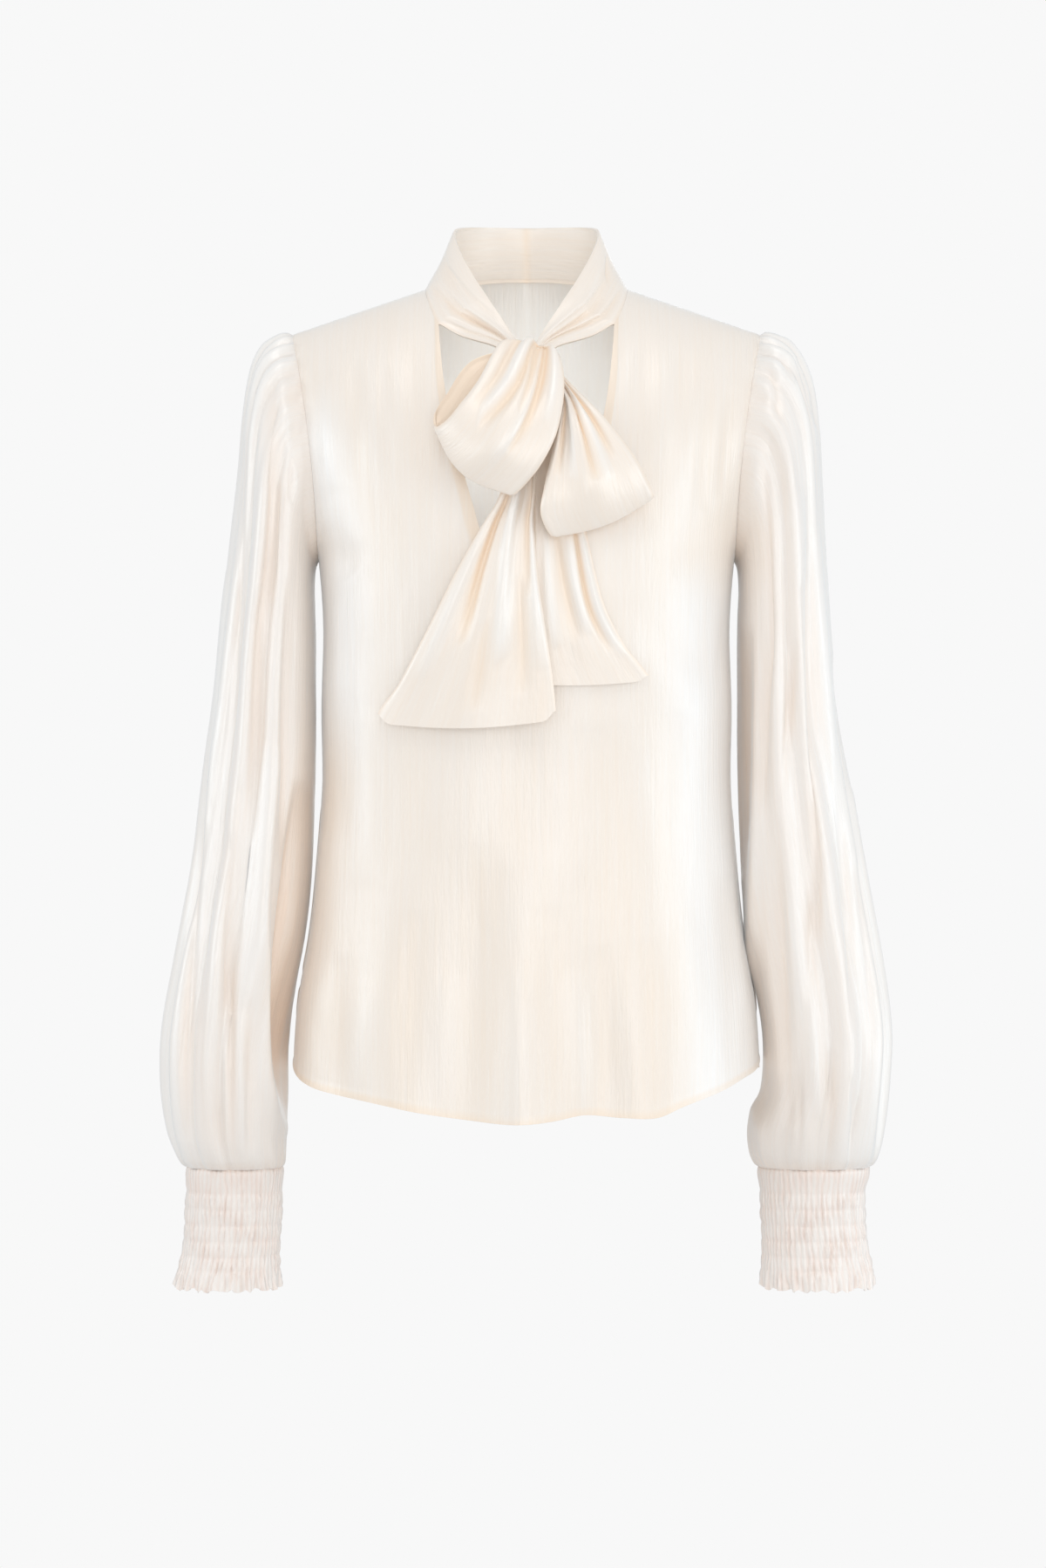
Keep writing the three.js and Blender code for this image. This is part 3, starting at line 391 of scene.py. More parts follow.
class Wire:
    """A value that runs through a material's nodes."""

    def __init__(self, tree, socket):
        self.tree = tree
        self.socket = socket

    def make(self, node_type, output=0, settings=None, **sockets):
        node = self.tree.nodes.new(node_type)
        for key, value in (settings or {}).items():
            setattr(node, key, value)
        for key, value in sockets.items():
            place = int(key[1:]) if key[0] == "_" and key[1:].isdigit() else key.replace("_", " ")
            if isinstance(value, Wire):
                self.tree.links.new(value.socket, node.inputs[place])
            else:
                node.inputs[place].default_value = value
        return Wire(self.tree, node.outputs[output])

    def sum(self, operation, a, b):
        return self.make("ShaderNodeMath", settings={"operation": operation}, _0=a, _1=b)

    def __add__(self, other):
        return self.sum("ADD", self, other)

    __radd__ = __add__

    def __sub__(self, other):
        return self.sum("SUBTRACT", self, other)

    def __rsub__(self, other):
        return self.sum("SUBTRACT", other, self)

    def __mul__(self, other):
        return self.sum("MULTIPLY", self, other)

    __rmul__ = __mul__

    def noise(self, scale, detail=2, roughness=0.5):
        """Noise over the cloth, drawn out along its length. scale is how often it changes in a
        metre, across and down."""
        stretch = {"operation": "MULTIPLY"}
        place = self.make("ShaderNodeVectorMath", settings=stretch, _0=self, _1=(*scale, 1))
        return place.make(
            "ShaderNodeTexNoise", Vector=place, Scale=1, Detail=detail, Roughness=roughness
        )

    def blend(self, a, b):
        """Colour a where this value is 0 and b where it is 1."""
        node = self.tree.nodes.new("ShaderNodeMix")
        node.data_type = "RGBA"
        self.tree.links.new(self.socket, node.inputs[0])
        for place, colour in ((6, a), (7, b)):
            node.inputs[place].default_value = (*colour, 1)
        return Wire(self.tree, node.outputs[2])


def satin(name, pale, peach, slub=1.0, roughness=0.4):
    """Satin: pale as one layer and where its tone paints sheen, peach where it is doubled and where
    its tone paints shade in folds, with fine upright slubs and a crinkle that only its shine shows."""
    material = bpy.data.materials.new(name)
    material.use_nodes = True
    tree = material.node_tree
    shader = tree.nodes["Principled BSDF"]
    start = Wire(tree, None)
    place = start.make("ShaderNodeUVMap", settings={"uv_map": "cloth"})
    tone_and_painted_light = start.make("ShaderNodeAttribute", output=2, settings={"attribute_name": "tone_and_painted_light"})
    slubs = place.noise((1100, 26), detail=3, roughness=0.6)
    streaks = place.noise((260, 9), detail=2)
    crinkle = place.noise((520, 90), detail=2)
    clouds = place.noise((22, 9), detail=1)
    tint = tone_and_painted_light + (slubs - 0.5) * 0.32 + (streaks - 0.5) * 0.3 + (clouds - 0.5) * 0.25
    tint = tint.make("ShaderNodeClamp", Value=tint, Min=0, Max=1)
    tree.links.new(tint.blend(pale, peach).socket, shader.inputs["Base Color"])
    rough = roughness + (slubs - 0.5) * 0.14 + (clouds - 0.5) * 0.1
    tree.links.new(rough.socket, shader.inputs["Roughness"])
    height = (slubs - 0.5) * (0.00012 * slub)
    height = height + (streaks - 0.5) * (0.0003 * slub) + (crinkle - 0.5) * (0.00022 * slub)
    bump = height.make("ShaderNodeBump", Strength=1, Distance=1, Height=height)
    tree.links.new(bump.socket, shader.inputs["Normal"])
    shader.inputs["Metallic"].default_value = 0.12
    shader.inputs["Specular IOR Level"].default_value = 0.85
    shader.inputs["Sheen Weight"].default_value = 0.8
    shader.inputs["Sheen Roughness"].default_value = 0.35
    shader.inputs["Sheen Tint"].default_value = (0.9, 0.96, 1, 1)
    return material


body_satin = satin("body_satin", (0.975, 0.955, 0.93), (0.96, 0.825, 0.685))

# height, width to either side, and the points that the fold runs through as x, drop
FRONT_FOLDS = [
    (-1.6, 13, 14, [(156, 164), (125, 197), (103, 214)]),
    (-2.2, 11, 11, [(-156, 181), (-140, 203), (-128, 218)]),
    (-2.6, 6, 7, [(153, 78), (149, 118), (145, 163)]),
    (-1.8, 7, 8, [(136, 70), (133, 118), (129, 172)]),
    (-1.2, 6, 9, [(117, 52), (113, 96), (112, 150)]),
    (1.5, 8, 8, [(-150, 72), (-147, 118), (-145, 158)]),
    (-1.6, 7, 6, [(-128, 56), (-125, 104), (-127, 150)]),
    (-1.1, 5, 7, [(-108, 62), (-104, 112), (-99, 150)]),
    (-1.3, 9, 7, [(-86, 40), (-82, 90), (-74, 150)]),
    (-1.2, 8, 8, [(90, 34), (86, 84), (80, 132)]),
    (0.5, 16, 16, [(-90, 214), (-112, 240), (-142, 262)]),
    (-0.8, 16, 18, [(64, 236), (100, 268), (146, 288)]),
    (0.7, 18, 18, [(70, 256), (104, 296), (146, 318)]),
    (-1.6, 22, 26, [(-30, 296), (-10, 350), (-6, 430)]),
    (-1.5, 22, 20, [(52, 330), (60, 400), (56, 470)]),
    (-1.6, 18, 20, [(-84, 290), (-92, 360), (-88, 440)]),
    (-2.2, 16, 18, [(-33, 418), (-34, 486), (-30, 566), (-28, 625)]),
    (-2, 13, 15, [(18, 462), (16, 528), (15, 625)]),
    (-1.8, 15, 15, [(53, 492), (57, 553), (62, 625)]),
    (-3, 15, 13, [(-80, 466), (-86, 534), (-92, 625)]),
    (2, 10, 10, [(-57, 512), (-59, 560), (-58, 626)]),
    (2.2, 10, 10, [(-5, 505), (-6, 560), (-7, 630)]),
    (2, 9, 9, [(36, 512), (38, 560), (39, 626)]),
    (-2, 10, 11, [(87, 486), (91, 553), (95, 620)]),
    (2, 10, 10, [(-113, 520), (-121, 560), (-124, 612)]),
    (-2, 8, 10, [(-138, 500), (-142, 550), (-143, 606)]),
    (2, 10, 12, [(118, 470), (124, 540), (126, 610)]),
    (-1.8, 8, 8, [(146, 440), (152, 510), (154, 600)]),
    (-2, 10, 12, [(-146, 300), (-143, 350), (-147, 420)]),
    (1.4, 12, 12, [(-120, 320), (-117, 380), (-121, 450)]),
    (-1.5, 10, 10, [(108, 320), (111, 390), (112, 460)]),
]
FRONT_SLUBS = loose_folds(5, 230, (-165, 20), (165, 590), 0.28, 3.2, 46)


def seam_dip(distance):
    """How a panel draws in along a sewn edge, where its allowance is pressed inside."""
    return 0.3 * bell(distance, 1.2) - 0.2 * bell(distance - 5, 2.5)


def painted_sheen_band(side, x, drop):
    """Where a painted sheen pales the satin along the sides, lower on the wearer's left in front."""
    across = x / look_up(BODY_FORM, 1, drop)
    left = ease(0.6, 0.82, across) * ease(200, 250, drop)
    right = ease(0.68, 0.9, -across) * ease(70, 120, drop) * ease(390, 310, drop)
    if side > 0:
        left = 0.7 * ease(0.62, 0.86, across)
        right = 0.7 * ease(0.62, 0.86, -across)
    return np.maximum(left, right)


# How far from the edge the hem's roll and the opening's facing are gone, and where they are full
HEM_EDGE = (3.9, 3.1)
FACING_EDGE = (10.5, 9)
# The row above the opening's foot by which the facing is full
FACING_FOOT = 10.4
HEM_DENT = 4.6
BODY_WARMTH = 0.5
# Tone inside the painted sheen band along the sides
PAINTED_SHEEN_TONE = 0.1


def body_panel(side, rows, neckline, cad_columns, hem, folds, fine_rows, fine_columns):
    grids = []
    for mirror in (-1, 1):
        x, drop, place, u = panel_half(
            mirror, rows, neckline, cad_columns, hem, fine_rows, fine_columns
        )
        y = form_y(side, x, drop) + side * HALF_SEAM
        below = (drop >= UNDERARM_DROP - 1) & (u > 0.9999)
        y = np.where(below, side * HALF_SEAM, y)
        points = np.stack([x, y, -drop], -1)
        from_side = np.linalg.norm(points - points[:, -1:], axis=-1)
        from_top = np.linalg.norm(points - points[:1], axis=-1)
        from_hem = np.linalg.norm(points - points[-1:], axis=-1)
        from_middle = np.linalg.norm(points - points[:, :1], axis=-1)
        calm = ease(1, 12, from_side) * ease(1, 14, from_top)
        relief = fold_relief(x, drop, folds) * calm
        rolled = ease(*HEM_EDGE, from_hem)
        relief = relief + 0.45 * rolled - 0.35 * bell(from_hem - HEM_DENT, 1.1)
        # Painted light in the tone: shade deepening toward the hem and in the folds' troughs,
        # highlight on their ridges, and a painted sheen band along the sides. The rolled hem and the
        # facing are peach as doubled cloth.
        lower = BODY_WARMTH + 0.08 * ease(360, 480, drop)
        tone_and_painted_light = mix(lower, PAINTED_SHEEN_TONE, painted_sheen_band(side, x, drop)) + 0.45 * rolled
        tone_and_painted_light = tone_and_painted_light + 0.05 * np.clip(-relief, -2, 10)
        if side < 0:
            faced = ease(*FACING_EDGE, from_middle) * ease(OPENING_FOOT_ROW, FACING_FOOT, place)
            relief = relief + 0.35 * faced
            tone_and_painted_light = tone_and_painted_light + 0.45 * faced
        relief = relief - seam_dip(from_side) - 0.5 * seam_dip(from_top)
        half_width = look_up(BODY_FORM, 1, drop)
        around = half_width * np.arcsin(np.clip(x / half_width, -1, 1))
        points = points + form_normal(side, x, drop) * relief[..., None]
        grids.append((points, tone_and_painted_light, np.stack([around, drop], -1)))
    return grids


def towards_axis(points):
    return points * (0, 0, 1)


front_grids = body_panel(
    -1, FRONT_ROWS, front_neckline, hem=front_hem, folds=FRONT_FOLDS + FRONT_SLUBS,
    cad_columns=12, fine_rows=216, fine_columns=96,
)
front = cloth_piece("front_panel", front_grids, CLOTH, body_satin, towards_axis)
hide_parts("front")

# Back
# One panel of the same satin, cut higher at the neck, with the same narrow hem. The photo doesn't
# show it, so its folds are the builder's own, and a little deeper than those in front.
BACK_NECK_RISE = 14
BACK_HEM_CURVE = 2.6
BACK_ROWS = np.array([
    (-14, 0, 34), (-2, 0, 41), (14, 0, 52), (38, 0, 70), (68, 0, 95), (102, 0, 122),
    (136, 0, 150), (168, 0, 178), (200, 0, 205), (240, 0, 242), (288, 0, 286), (340, 0, 335),
    (394, 0, 386), (450, 0, 438), (506, 0, 490), (562, 0, 540), (616, 0, 588),
], float)
BACK_FOLDS = [
    (-5, 14, 12, [(150, 168), (122, 196), (96, 232)]),
    (-5, 12, 14, [(-150, 164), (-124, 200), (-100, 226)]),
    (-2, 8, 8, [(142, 72), (138, 120), (134, 166)]),
    (-2, 8, 8, [(-145, 78), (-139, 124), (-136, 160)]),
    (-1.6, 12, 12, [(-60, 60), (-66, 120), (-64, 190)]),
    (-1.5, 12, 12, [(52, 80), (58, 140), (66, 200)]),
    (1.5, 16, 16, [(4, 100), (0, 170), (6, 240)]),
    (-3, 20, 18, [(-20, 240), (-26, 330), (-20, 430)]),
    (-2.6, 18, 18, [(46, 260), (52, 350), (48, 430)]),
    (2, 18, 18, [(86, 240), (94, 330), (96, 410)]),
    (-3, 15, 15, [(-84, 270), (-92, 350), (-90, 450)]),
    (-3.4, 14, 14, [(-34, 410), (-38, 500), (-36, 622)]),
    (-3, 13, 14, [(24, 430), (22, 520), (26, 622)]),
    (-3.2, 13, 13, [(76, 450), (84, 530), (88, 618)]),
    (-3, 13, 13, [(-96, 460), (-104, 540), (-108, 616)]),
    (2.6, 12, 12, [(-2, 470), (-6, 540), (-4, 622)]),
    (2.4, 12, 12, [(52, 480), (56, 540), (58, 620)]),
    (2.4, 12, 12, [(-66, 470), (-72, 540), (-70, 620)]),
    (-2.4, 10, 10, [(132, 450), (140, 520), (146, 600)]),
    (-2.4, 10, 10, [(-134, 440), (-144, 520), (-148, 600)]),
]


def back_neckline(t):
    x = NECK_HALF * np.sin(t * np.pi / 2)
    return x, -BACK_NECK_RISE * (1 - (x / NECK_HALF) ** 2)


def back_hem(x):
    out = np.clip(np.abs(x) / side_x(np.float64(SIDE_HEM_DROP)), 0, 1)
    return mix(BACK_ROWS[-1, 0], SIDE_HEM_DROP, out**BACK_HEM_CURVE)


BACK_SLUBS = loose_folds(9, 160, (-165, 10), (165, 590), 0.28, 3.4, 48)
back_grids = body_panel(
    1, BACK_ROWS, back_neckline, hem=back_hem, folds=BACK_FOLDS + BACK_SLUBS,
    cad_columns=10, fine_rows=180, fine_columns=80,
)
back = cloth_piece("back_panel", back_grids, CLOTH, body_satin, towards_axis)
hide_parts("back")

# Sleeves
# Each is one wide piece of satin, gathered into the armhole at its head and again into the cuff,
# so it hangs in long folds that shift and end where they will.
# out x, out drop, in x, in drop, depth, fold
RIGHT_SLEEVE = np.array([
    (187, 37, 159.5, 211, 64, 0.9), (198.7, 46, 160.5, 224, 67, 2.4),
    (207, 64, 160, 243, 69, 3.2), (213, 97, 159.5, 268, 70, 3.6),
    (217.5, 143, 159.5, 303, 68, 3.8), (226, 222, 159.5, 350, 65, 3.8),
    (233.6, 302, 160.5, 395, 62, 3.8), (241.6, 361, 162.5, 441, 61, 4),
    (250, 434, 166.5, 481, 61, 4.2), (263, 506, 174.5, 530, 62, 4.2),
    (272, 559, 179, 572, 62, 4.2), (273, 599, 179.5, 608, 60, 4),
    (268.6, 635, 182, 638, 54, 3.2), (262, 655, 182.8, 655, 45, 1.8),
    (257.5, 663.2, 184, 663.2, 38, 1),
])
LEFT_SLEEVE = np.array([
    (186, 36, 159.5, 211, 64, 0.9), (199, 43, 160.5, 224, 67, 2.4),
    (212, 64, 160, 243, 69, 3.2), (219, 95, 159.5, 268, 70, 3.6),
    (222.5, 143, 159.5, 303, 68, 3.8), (226, 222, 159.5, 350, 65, 3.8),
    (232, 302, 160.5, 395, 62, 3.8), (241, 361, 162.5, 441, 61, 4),
    (253, 434, 166.5, 481, 61, 4.2), (266, 506, 174.5, 530, 62, 4.2),
    (272.5, 559, 179, 572, 62, 4.2), (271, 599, 177.5, 604, 60, 4),
    (267.5, 635, 168.5, 632, 54, 3.2), (264, 655, 169.5, 651, 45, 1.8),
    (260, 663.2, 175, 663.2, 38, 1),
])
SLEEVE_COLUMNS = 168
SLEEVE_FOLDS = 10
SLEEVE_FORWARD = 6
GATHER_DRIFT = 0.35
BODY_SIDE_CALM = 0.75
GATHER_DEPTHS = np.array([1, 0.8, 1.15, 0.7, 0.5, 0.35, 0.5, 0.9, 1.1, 0.75])
SEAM_GAP = 0.4
SEAM_TUCK = 2.5


def sleeve_rings(side, table, count):
    """The rings that the sleeve's solid is made on, the armhole first."""
    angle = np.linspace(0, 2 * np.pi, count + 1)
    middle = (SHOULDER_DROP + UNDERARM_DROP) / 2
    drop = middle - np.cos(angle) * (UNDERARM_DROP - middle)
    x = armhole_x(drop)
    y = np.where(np.sin(angle) >= 0, form_y(-1, x, drop), form_y(1, x, drop))
    y = np.where(np.abs(np.sin(angle)) < 1e-6, 0, y)
    rings = []
    for tuck, size in ((SEAM_TUCK, 0.975), (0, 0.998)):
        ring_drop = middle + size * (drop - middle)
        rings.append(np.stack([side * (x - tuck), size * y, -ring_drop], -1))
    last = len(table) - 1
    for index, (out_x, out_drop, in_x, in_drop, depth, fold) in enumerate(table):
        forward = -SLEEVE_FORWARD * ease(0, len(table), index) if index < last else 0
        out = np.stack([
            np.cos(angle) * (out_x - in_x) / 2,
            -np.sin(angle) * depth,
            np.cos(angle) * (in_drop - out_drop) / 2,
        ], -1)
        turn = angle / (2 * np.pi) * SLEEVE_FOLDS
        number = np.round(turn).astype(int) % SLEEVE_FOLDS
        wave = np.cos(2 * np.pi * turn + GATHER_DRIFT * np.sin(index * 0.9 + number))
        calm = 1 - BODY_SIDE_CALM * np.maximum(0, -np.cos(angle))
        length = np.linalg.norm(out, axis=-1)
        out = out * (1 + fold * GATHER_DEPTHS[number] * wave * calm / length)[:, None]
        centre = np.array([(out_x + in_x) / 2, forward, -(out_drop + in_drop) / 2])
        ring = (centre + out) * (side, 1, 1)
        ring[-1] = ring[0]
        rings.append(ring)
    return np.array(rings)


def tube_normals(points):
    closed = np.concatenate([points[:, -2:-1], points, points[:, 1:2]], 1)
    across = closed[:, 2:] - closed[:, :-2]
    down = np.gradient(points, axis=0)
    normal = np.cross(across, down)
    return normal / np.linalg.norm(normal, axis=-1, keepdims=True)


def tube_middle(points):
    return np.broadcast_to(points[:, :-1].mean(1, keepdims=True), points.shape)


def gathers(turn, distance, marks):
    """Gathers that leave a seam. A mark is its place round the piece, and its height, half
    width and length."""
    relief = np.zeros(turn.shape)
    for at, height, width, length in marks:
        away = (turn - at + 0.5) % 1 - 0.5
        spread = width * (1 + 0.5 * distance / length)
        relief += height * bell(away, spread) * np.exp(-((distance / length) ** 1.5))
    return relief


def uneven_marks(seed, count, height, width, length):
    chance = np.random.default_rng(seed)
    marks = []
    for number in range(count):
        at = (number + chance.uniform(-0.35, 0.35)) / count
        size = height * chance.uniform(0.35, 1.2)
        marks.append((at, size, width * chance.uniform(0.6, 1.3), length * chance.uniform(0.4, 1.6)))
    return marks


# The main folds of each sleeve, in front and behind, in the same columns as the front's
RIGHT_SLEEVE_FRONT = [
    (-4.8, 4.8, 4, [
        (-188, 66), (-188, 139), (-187, 166), (-192, 225), (-198, 260), (-200, 328), (-203, 420),
    ]),
    (2.8, 4.8, 4, [(-197, 76), (-197, 150), (-201, 225), (-208, 300), (-212, 380)]),
    (-3.4, 3.2, 3.2, [(-171, 70), (-166, 100), (-163, 130), (-163, 165), (-160, 206)]),
    (-2.1, 2, 2.4, [(-175, 128), (-175, 164)]),
    (-3.7, 3.2, 4, [(-176, 222), (-179, 301), (-180, 374), (-183, 440)]),
    (-3.4, 3.6, 4, [(-211, 112), (-214, 207), (-221, 274), (-234, 374), (-244, 445)]),
    (-2.3, 2.4, 3.2, [(-216, 205), (-217, 274), (-220, 330)]),
    (2.3, 4.8, 4.8, [(-226, 210), (-230, 300), (-238, 390)]),
    (-4.6, 3.2, 4, [(-220, 410), (-221, 504), (-220, 569), (-218, 655)]),
    (2.5, 4.8, 4, [(-228, 430), (-231, 520), (-230, 620)]),
    (-4.6, 4.8, 4, [(-243, 400), (-250, 491), (-253, 569), (-252, 640)]),
    (5.8, 7.2, 3.2, [
        (-184, 345), (-191, 413), (-195, 473), (-195, 523), (-194, 580), (-189, 609), (-182, 640),
    ]),
    (-11.5, 4.8, 7.2, [(-168, 370), (-176, 439), (-182, 497), (-184, 549), (-182, 594), (-176, 632)]),
    (2.1, 4.8, 4, [(-183, 66), (-177, 115), (-172, 161)]),
    (2.3, 5.6, 6.4, [(-194, 342), (-203, 413), (-207, 478), (-209, 540)]),
    (-1.8, 2.4, 2.4, [(-204, 530), (-206, 594), (-207, 650)]),
    (1.8, 3.2, 3.2, [(-212, 540), (-213, 594), (-212, 650)]),
    (-2.3, 3.2, 4, [(-240, 520), (-243, 590), (-240, 645)]),
    (-1.8, 3.2, 3.2, [(-228, 560), (-229, 610), (-227, 655)]),
]
RIGHT_SLEEVE_BACK = [
    (-4, 6, 6, [(-186, 74), (-190, 150), (-196, 230), (-204, 330)]),
    (-3, 4, 5, [(-172, 80), (-168, 130), (-166, 200)]),
    (-3, 5, 5, [(-206, 120), (-212, 210), (-222, 300), (-232, 400)]),
    (-4.5, 6, 7, [(-184, 250), (-190, 350), (-200, 460), (-202, 560)]),
    (3.5, 8, 6, [(-196, 330), (-206, 430), (-214, 530), (-216, 630)]),
    (-4, 5, 6, [(-222, 380), (-230, 470), (-234, 560), (-230, 650)]),
    (-3, 5, 5, [(-248, 440), (-254, 520), (-254, 620)]),
    (-2, 4, 4, [(-206, 540), (-206, 600), (-206, 655)]),
]
LEFT_SLEEVE_FRONT = [
    (-3.4, 4, 3.2, [(176, 52), (186, 78), (188, 106)]),
    (-2.5, 3.2, 3.2, [(191, 52), (198, 74)]),
    (-3.4, 3.2, 4, [(202, 54), (211, 82), (219, 106)]),
    (-4.6, 4, 4, [(176, 140), (180, 220), (181, 260), (178, 297), (176, 335), (175, 400)]),
    (-4.6, 4, 4.8, [(211, 160), (212, 274), (213, 374), (215, 439), (212, 504), (210, 555)]),
    (2.8, 4.8, 4.8, [(221, 180), (224, 280), (228, 380), (230, 460)]),
    (-2.9, 3.2, 3.2, [(198, 268), (195, 322), (191, 378)]),
    (-3.4, 4, 4.8, [(232, 278), (240, 329), (248, 380)]),
    (-4.6, 4.8, 4, [(165, 255), (164, 309), (163, 374), (163, 445)]),
    (1.8, 4.8, 4.8, [(168, 108), (168, 184)]),
    (2.1, 5.6, 5.6, [(202, 154), (204, 190), (204, 228)]),
    (3.2, 4, 2.4, [(211, 520), (214, 575), (217, 622)]),
    (-3.4, 4, 4.8, [(246, 430), (256, 504), (259, 575)]),
    (-2.3, 3.2, 3.2, [(234, 400), (240, 480), (242, 560)]),
    (4.6, 4.8, 4, [(172, 370), (171, 439), (170, 504), (170, 569), (173, 627), (180, 654)]),
    (-3, 4, 4.8, [(186, 400), (188, 480), (192, 560), (196, 630)]),
    (2.1, 4.8, 4.8, [(198, 420), (200, 500), (203, 590)]),
    (-2.3, 2.4, 3.2, [(224, 570), (226, 610), (224, 652)]),
    (-2.3, 2.4, 3.2, [(241, 590), (244, 620), (240, 655)]),
    (-1.8, 2.4, 2.4, [(203, 590), (203, 655)]),
]
LEFT_SLEEVE_BACK = [
    (-4, 6, 6, [(184, 76), (190, 150), (198, 240), (202, 340)]),
    (-3, 5, 4, [(170, 84), (167, 140), (166, 210)]),
    (-3, 5, 5, [(208, 110), (216, 210), (220, 300), (230, 390)]),
    (-4.5, 7, 6, [(180, 260), (188, 350), (196, 450), (198, 570)]),
    (3.5, 6, 8, [(194, 320), (204, 430), (214, 520), (214, 630)]),
    (-4, 6, 5, [(224, 360), (232, 470), (234, 570), (228, 650)]),
    (-3, 5, 5, [(246, 430), (256, 520), (252, 620)]),
    (-2, 4, 4, [(208, 550), (208, 600), (206, 655)]),
]
# place round the sleeve, height, half width, length. 0 is the shoulder and 0.25 the front.
HEAD_GATHERS = [
    (0, 3.4, 0.011, 60), (0.022, -3.4, 0.008, 76), (0.041, 3, 0.009, 96),
    (0.061, -3.4, 0.007, 118), (0.08, 2.4, 0.009, 92), (0.1, -2.8, 0.007, 112),
    (0.12, 2, 0.009, 84), (0.141, -2.4, 0.007, 98), (0.162, 1.6, 0.009, 66),
    (0.184, -1.8, 0.008, 82), (0.207, 1.2, 0.01, 52), (0.232, -1.2, 0.009, 60),
    (0.976, -3, 0.008, 64), (0.955, 2.8, 0.009, 80), (0.932, -3, 0.008, 98),
    (0.908, 2.2, 0.009, 84), (0.884, -2.2, 0.008, 92), (0.858, 1.5, 0.01, 60),
    (0.83, -1.6, 0.009, 70), (0.8, 1, 0.01, 48),
]

sleeve_satin = satin("sleeve_satin", (0.98, 0.96, 0.93), (0.96, 0.81, 0.69), slub=1.1)


def sleeve_piece(name, side, table, front_folds, back_folds, seed):
    rings = sleeve_rings(side, table, SLEEVE_COLUMNS)
    keys = -rings[:, :-1, 2].mean(1)
    keys[0] -= SEAM_TUCK
    at = np.concatenate([
        np.linspace(keys[0], keys[4], 28)[:-1],
        np.linspace(keys[4], keys[-4], 126)[:-1],
        np.linspace(keys[-4], keys[-1], 34),
    ])
    lines = rings.transpose(1, 2, 0)
    points = np.array([[along(keys, line, at) for line in column] for column in lines])
    points = points.transpose(2, 0, 1)
    normal = tube_normals(points)
    if (normal * (points - tube_middle(points))).sum() < 0:
        normal = -normal
    turn = np.linspace(0, 1, points.shape[1])[None, :] + np.zeros((len(at), 1))
    x, drop = points[..., 0], -points[..., 2]
    from_head = np.linalg.norm(points - points[:1], axis=-1)
    from_cuff = np.linalg.norm(points - points[-1:], axis=-1)
    in_front = ease(-8, 8, -points[..., 1])
    small = loose_folds(seed, 120, (x.min(), 40), (x.max(), 640), 0.35, 3, 56)
    relief = fold_relief(x, drop, front_folds + small[:60]) * in_front
    relief = relief + fold_relief(x, drop, back_folds + small[60:]) * (1 - in_front)
    relief = relief * ease(2, 18, from_head) * ease(0, 12, from_cuff)
    relief = relief + gathers(turn, from_head, HEAD_GATHERS) * ease(2, 8, from_head)
    cuff_marks = uneven_marks(seed + 1, 34, 1.3, 0.0075, 30)
    relief = relief + gathers(turn, from_cuff, cuff_marks) * ease(-2, 5, from_cuff)
    relief = relief - 0.8 * bell(from_cuff, 2.2)
    # Painted light in the tone: a painted sheen down the outer side, painted highlight on the ridges,
    # and painted shade in the troughs, toward the cuff and on the inner side that faces the body.
    painted_sheen = np.maximum(ease(0.21 + 0.04 * side, 0.1, turn), ease(0.8, 0.9, turn))
    tone_and_painted_light = mix(0.36, 0.14, painted_sheen) + 0.06 * np.clip(-relief, -2, 9)
    tone_and_painted_light = tone_and_painted_light + 0.2 * ease(20, 2, from_cuff)
    tone_and_painted_light = tone_and_painted_light + 0.25 * (ease(0.34, 0.46, turn) * ease(0.72, 0.6, turn))
    points = points + normal * relief[..., None]
    points[:, -1] = points[:, 0]
    return cloth_piece(name, [(points, tone_and_painted_light, None)], CLOTH, sleeve_satin, tube_middle)


for name, *shape in (
    ("sleeve_right", -1, RIGHT_SLEEVE, RIGHT_SLEEVE_FRONT, RIGHT_SLEEVE_BACK, 21),
    ("sleeve_left", 1, LEFT_SLEEVE, LEFT_SLEEVE_FRONT, LEFT_SLEEVE_BACK, 33),
):
    sleeve = sleeve_piece(f"{name}_cloth", *shape)
    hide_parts(name)

# Cuffs
# Each is a band of satin drawn up on rows of elastic thread, so that it puffs between the rows
# in fine upright ribs. Its end is left free as a small frill.
# drop, out x, in x, depth
RIGHT_CUFF = np.array([
    (663.6, 257.5, 184, 38), (671, 257.2, 184.6, 37.6), (679, 256.8, 185.2, 37),
    (692, 257.5, 185.5, 37), (705, 257.8, 186.2, 36.5), (718, 259, 187, 36.6),
    (731, 261, 187.5, 37), (742, 264, 187, 38.5), (753, 266.5, 186, 40),
])
LEFT_CUFF = np.array([
    (663.6, 260, 175, 38), (671, 258.5, 176, 37.6), (679, 256.5, 177, 37),
    (692, 255.7, 177.7, 37), (705, 256, 178.2, 36.5), (718, 257.5, 178.8, 36.6),
    (731, 259.5, 178.6, 37), (742, 262, 177.8, 38.5), (753, 263, 178, 40),
])
ELASTIC_DROPS = [664.5, 681, 693, 705, 717, 729, 739]
ELASTIC_REACH = 1.9
CUFF_TUCK = 3
CUFF_CLOTH = 0.9
CUFF_RIBS = 58
FINER_RIBS = 97
cuff_satin = satin(
    "cuff_satin", (0.97, 0.91, 0.855), (0.95, 0.81, 0.73), slub=1.3, roughness=0.44
)


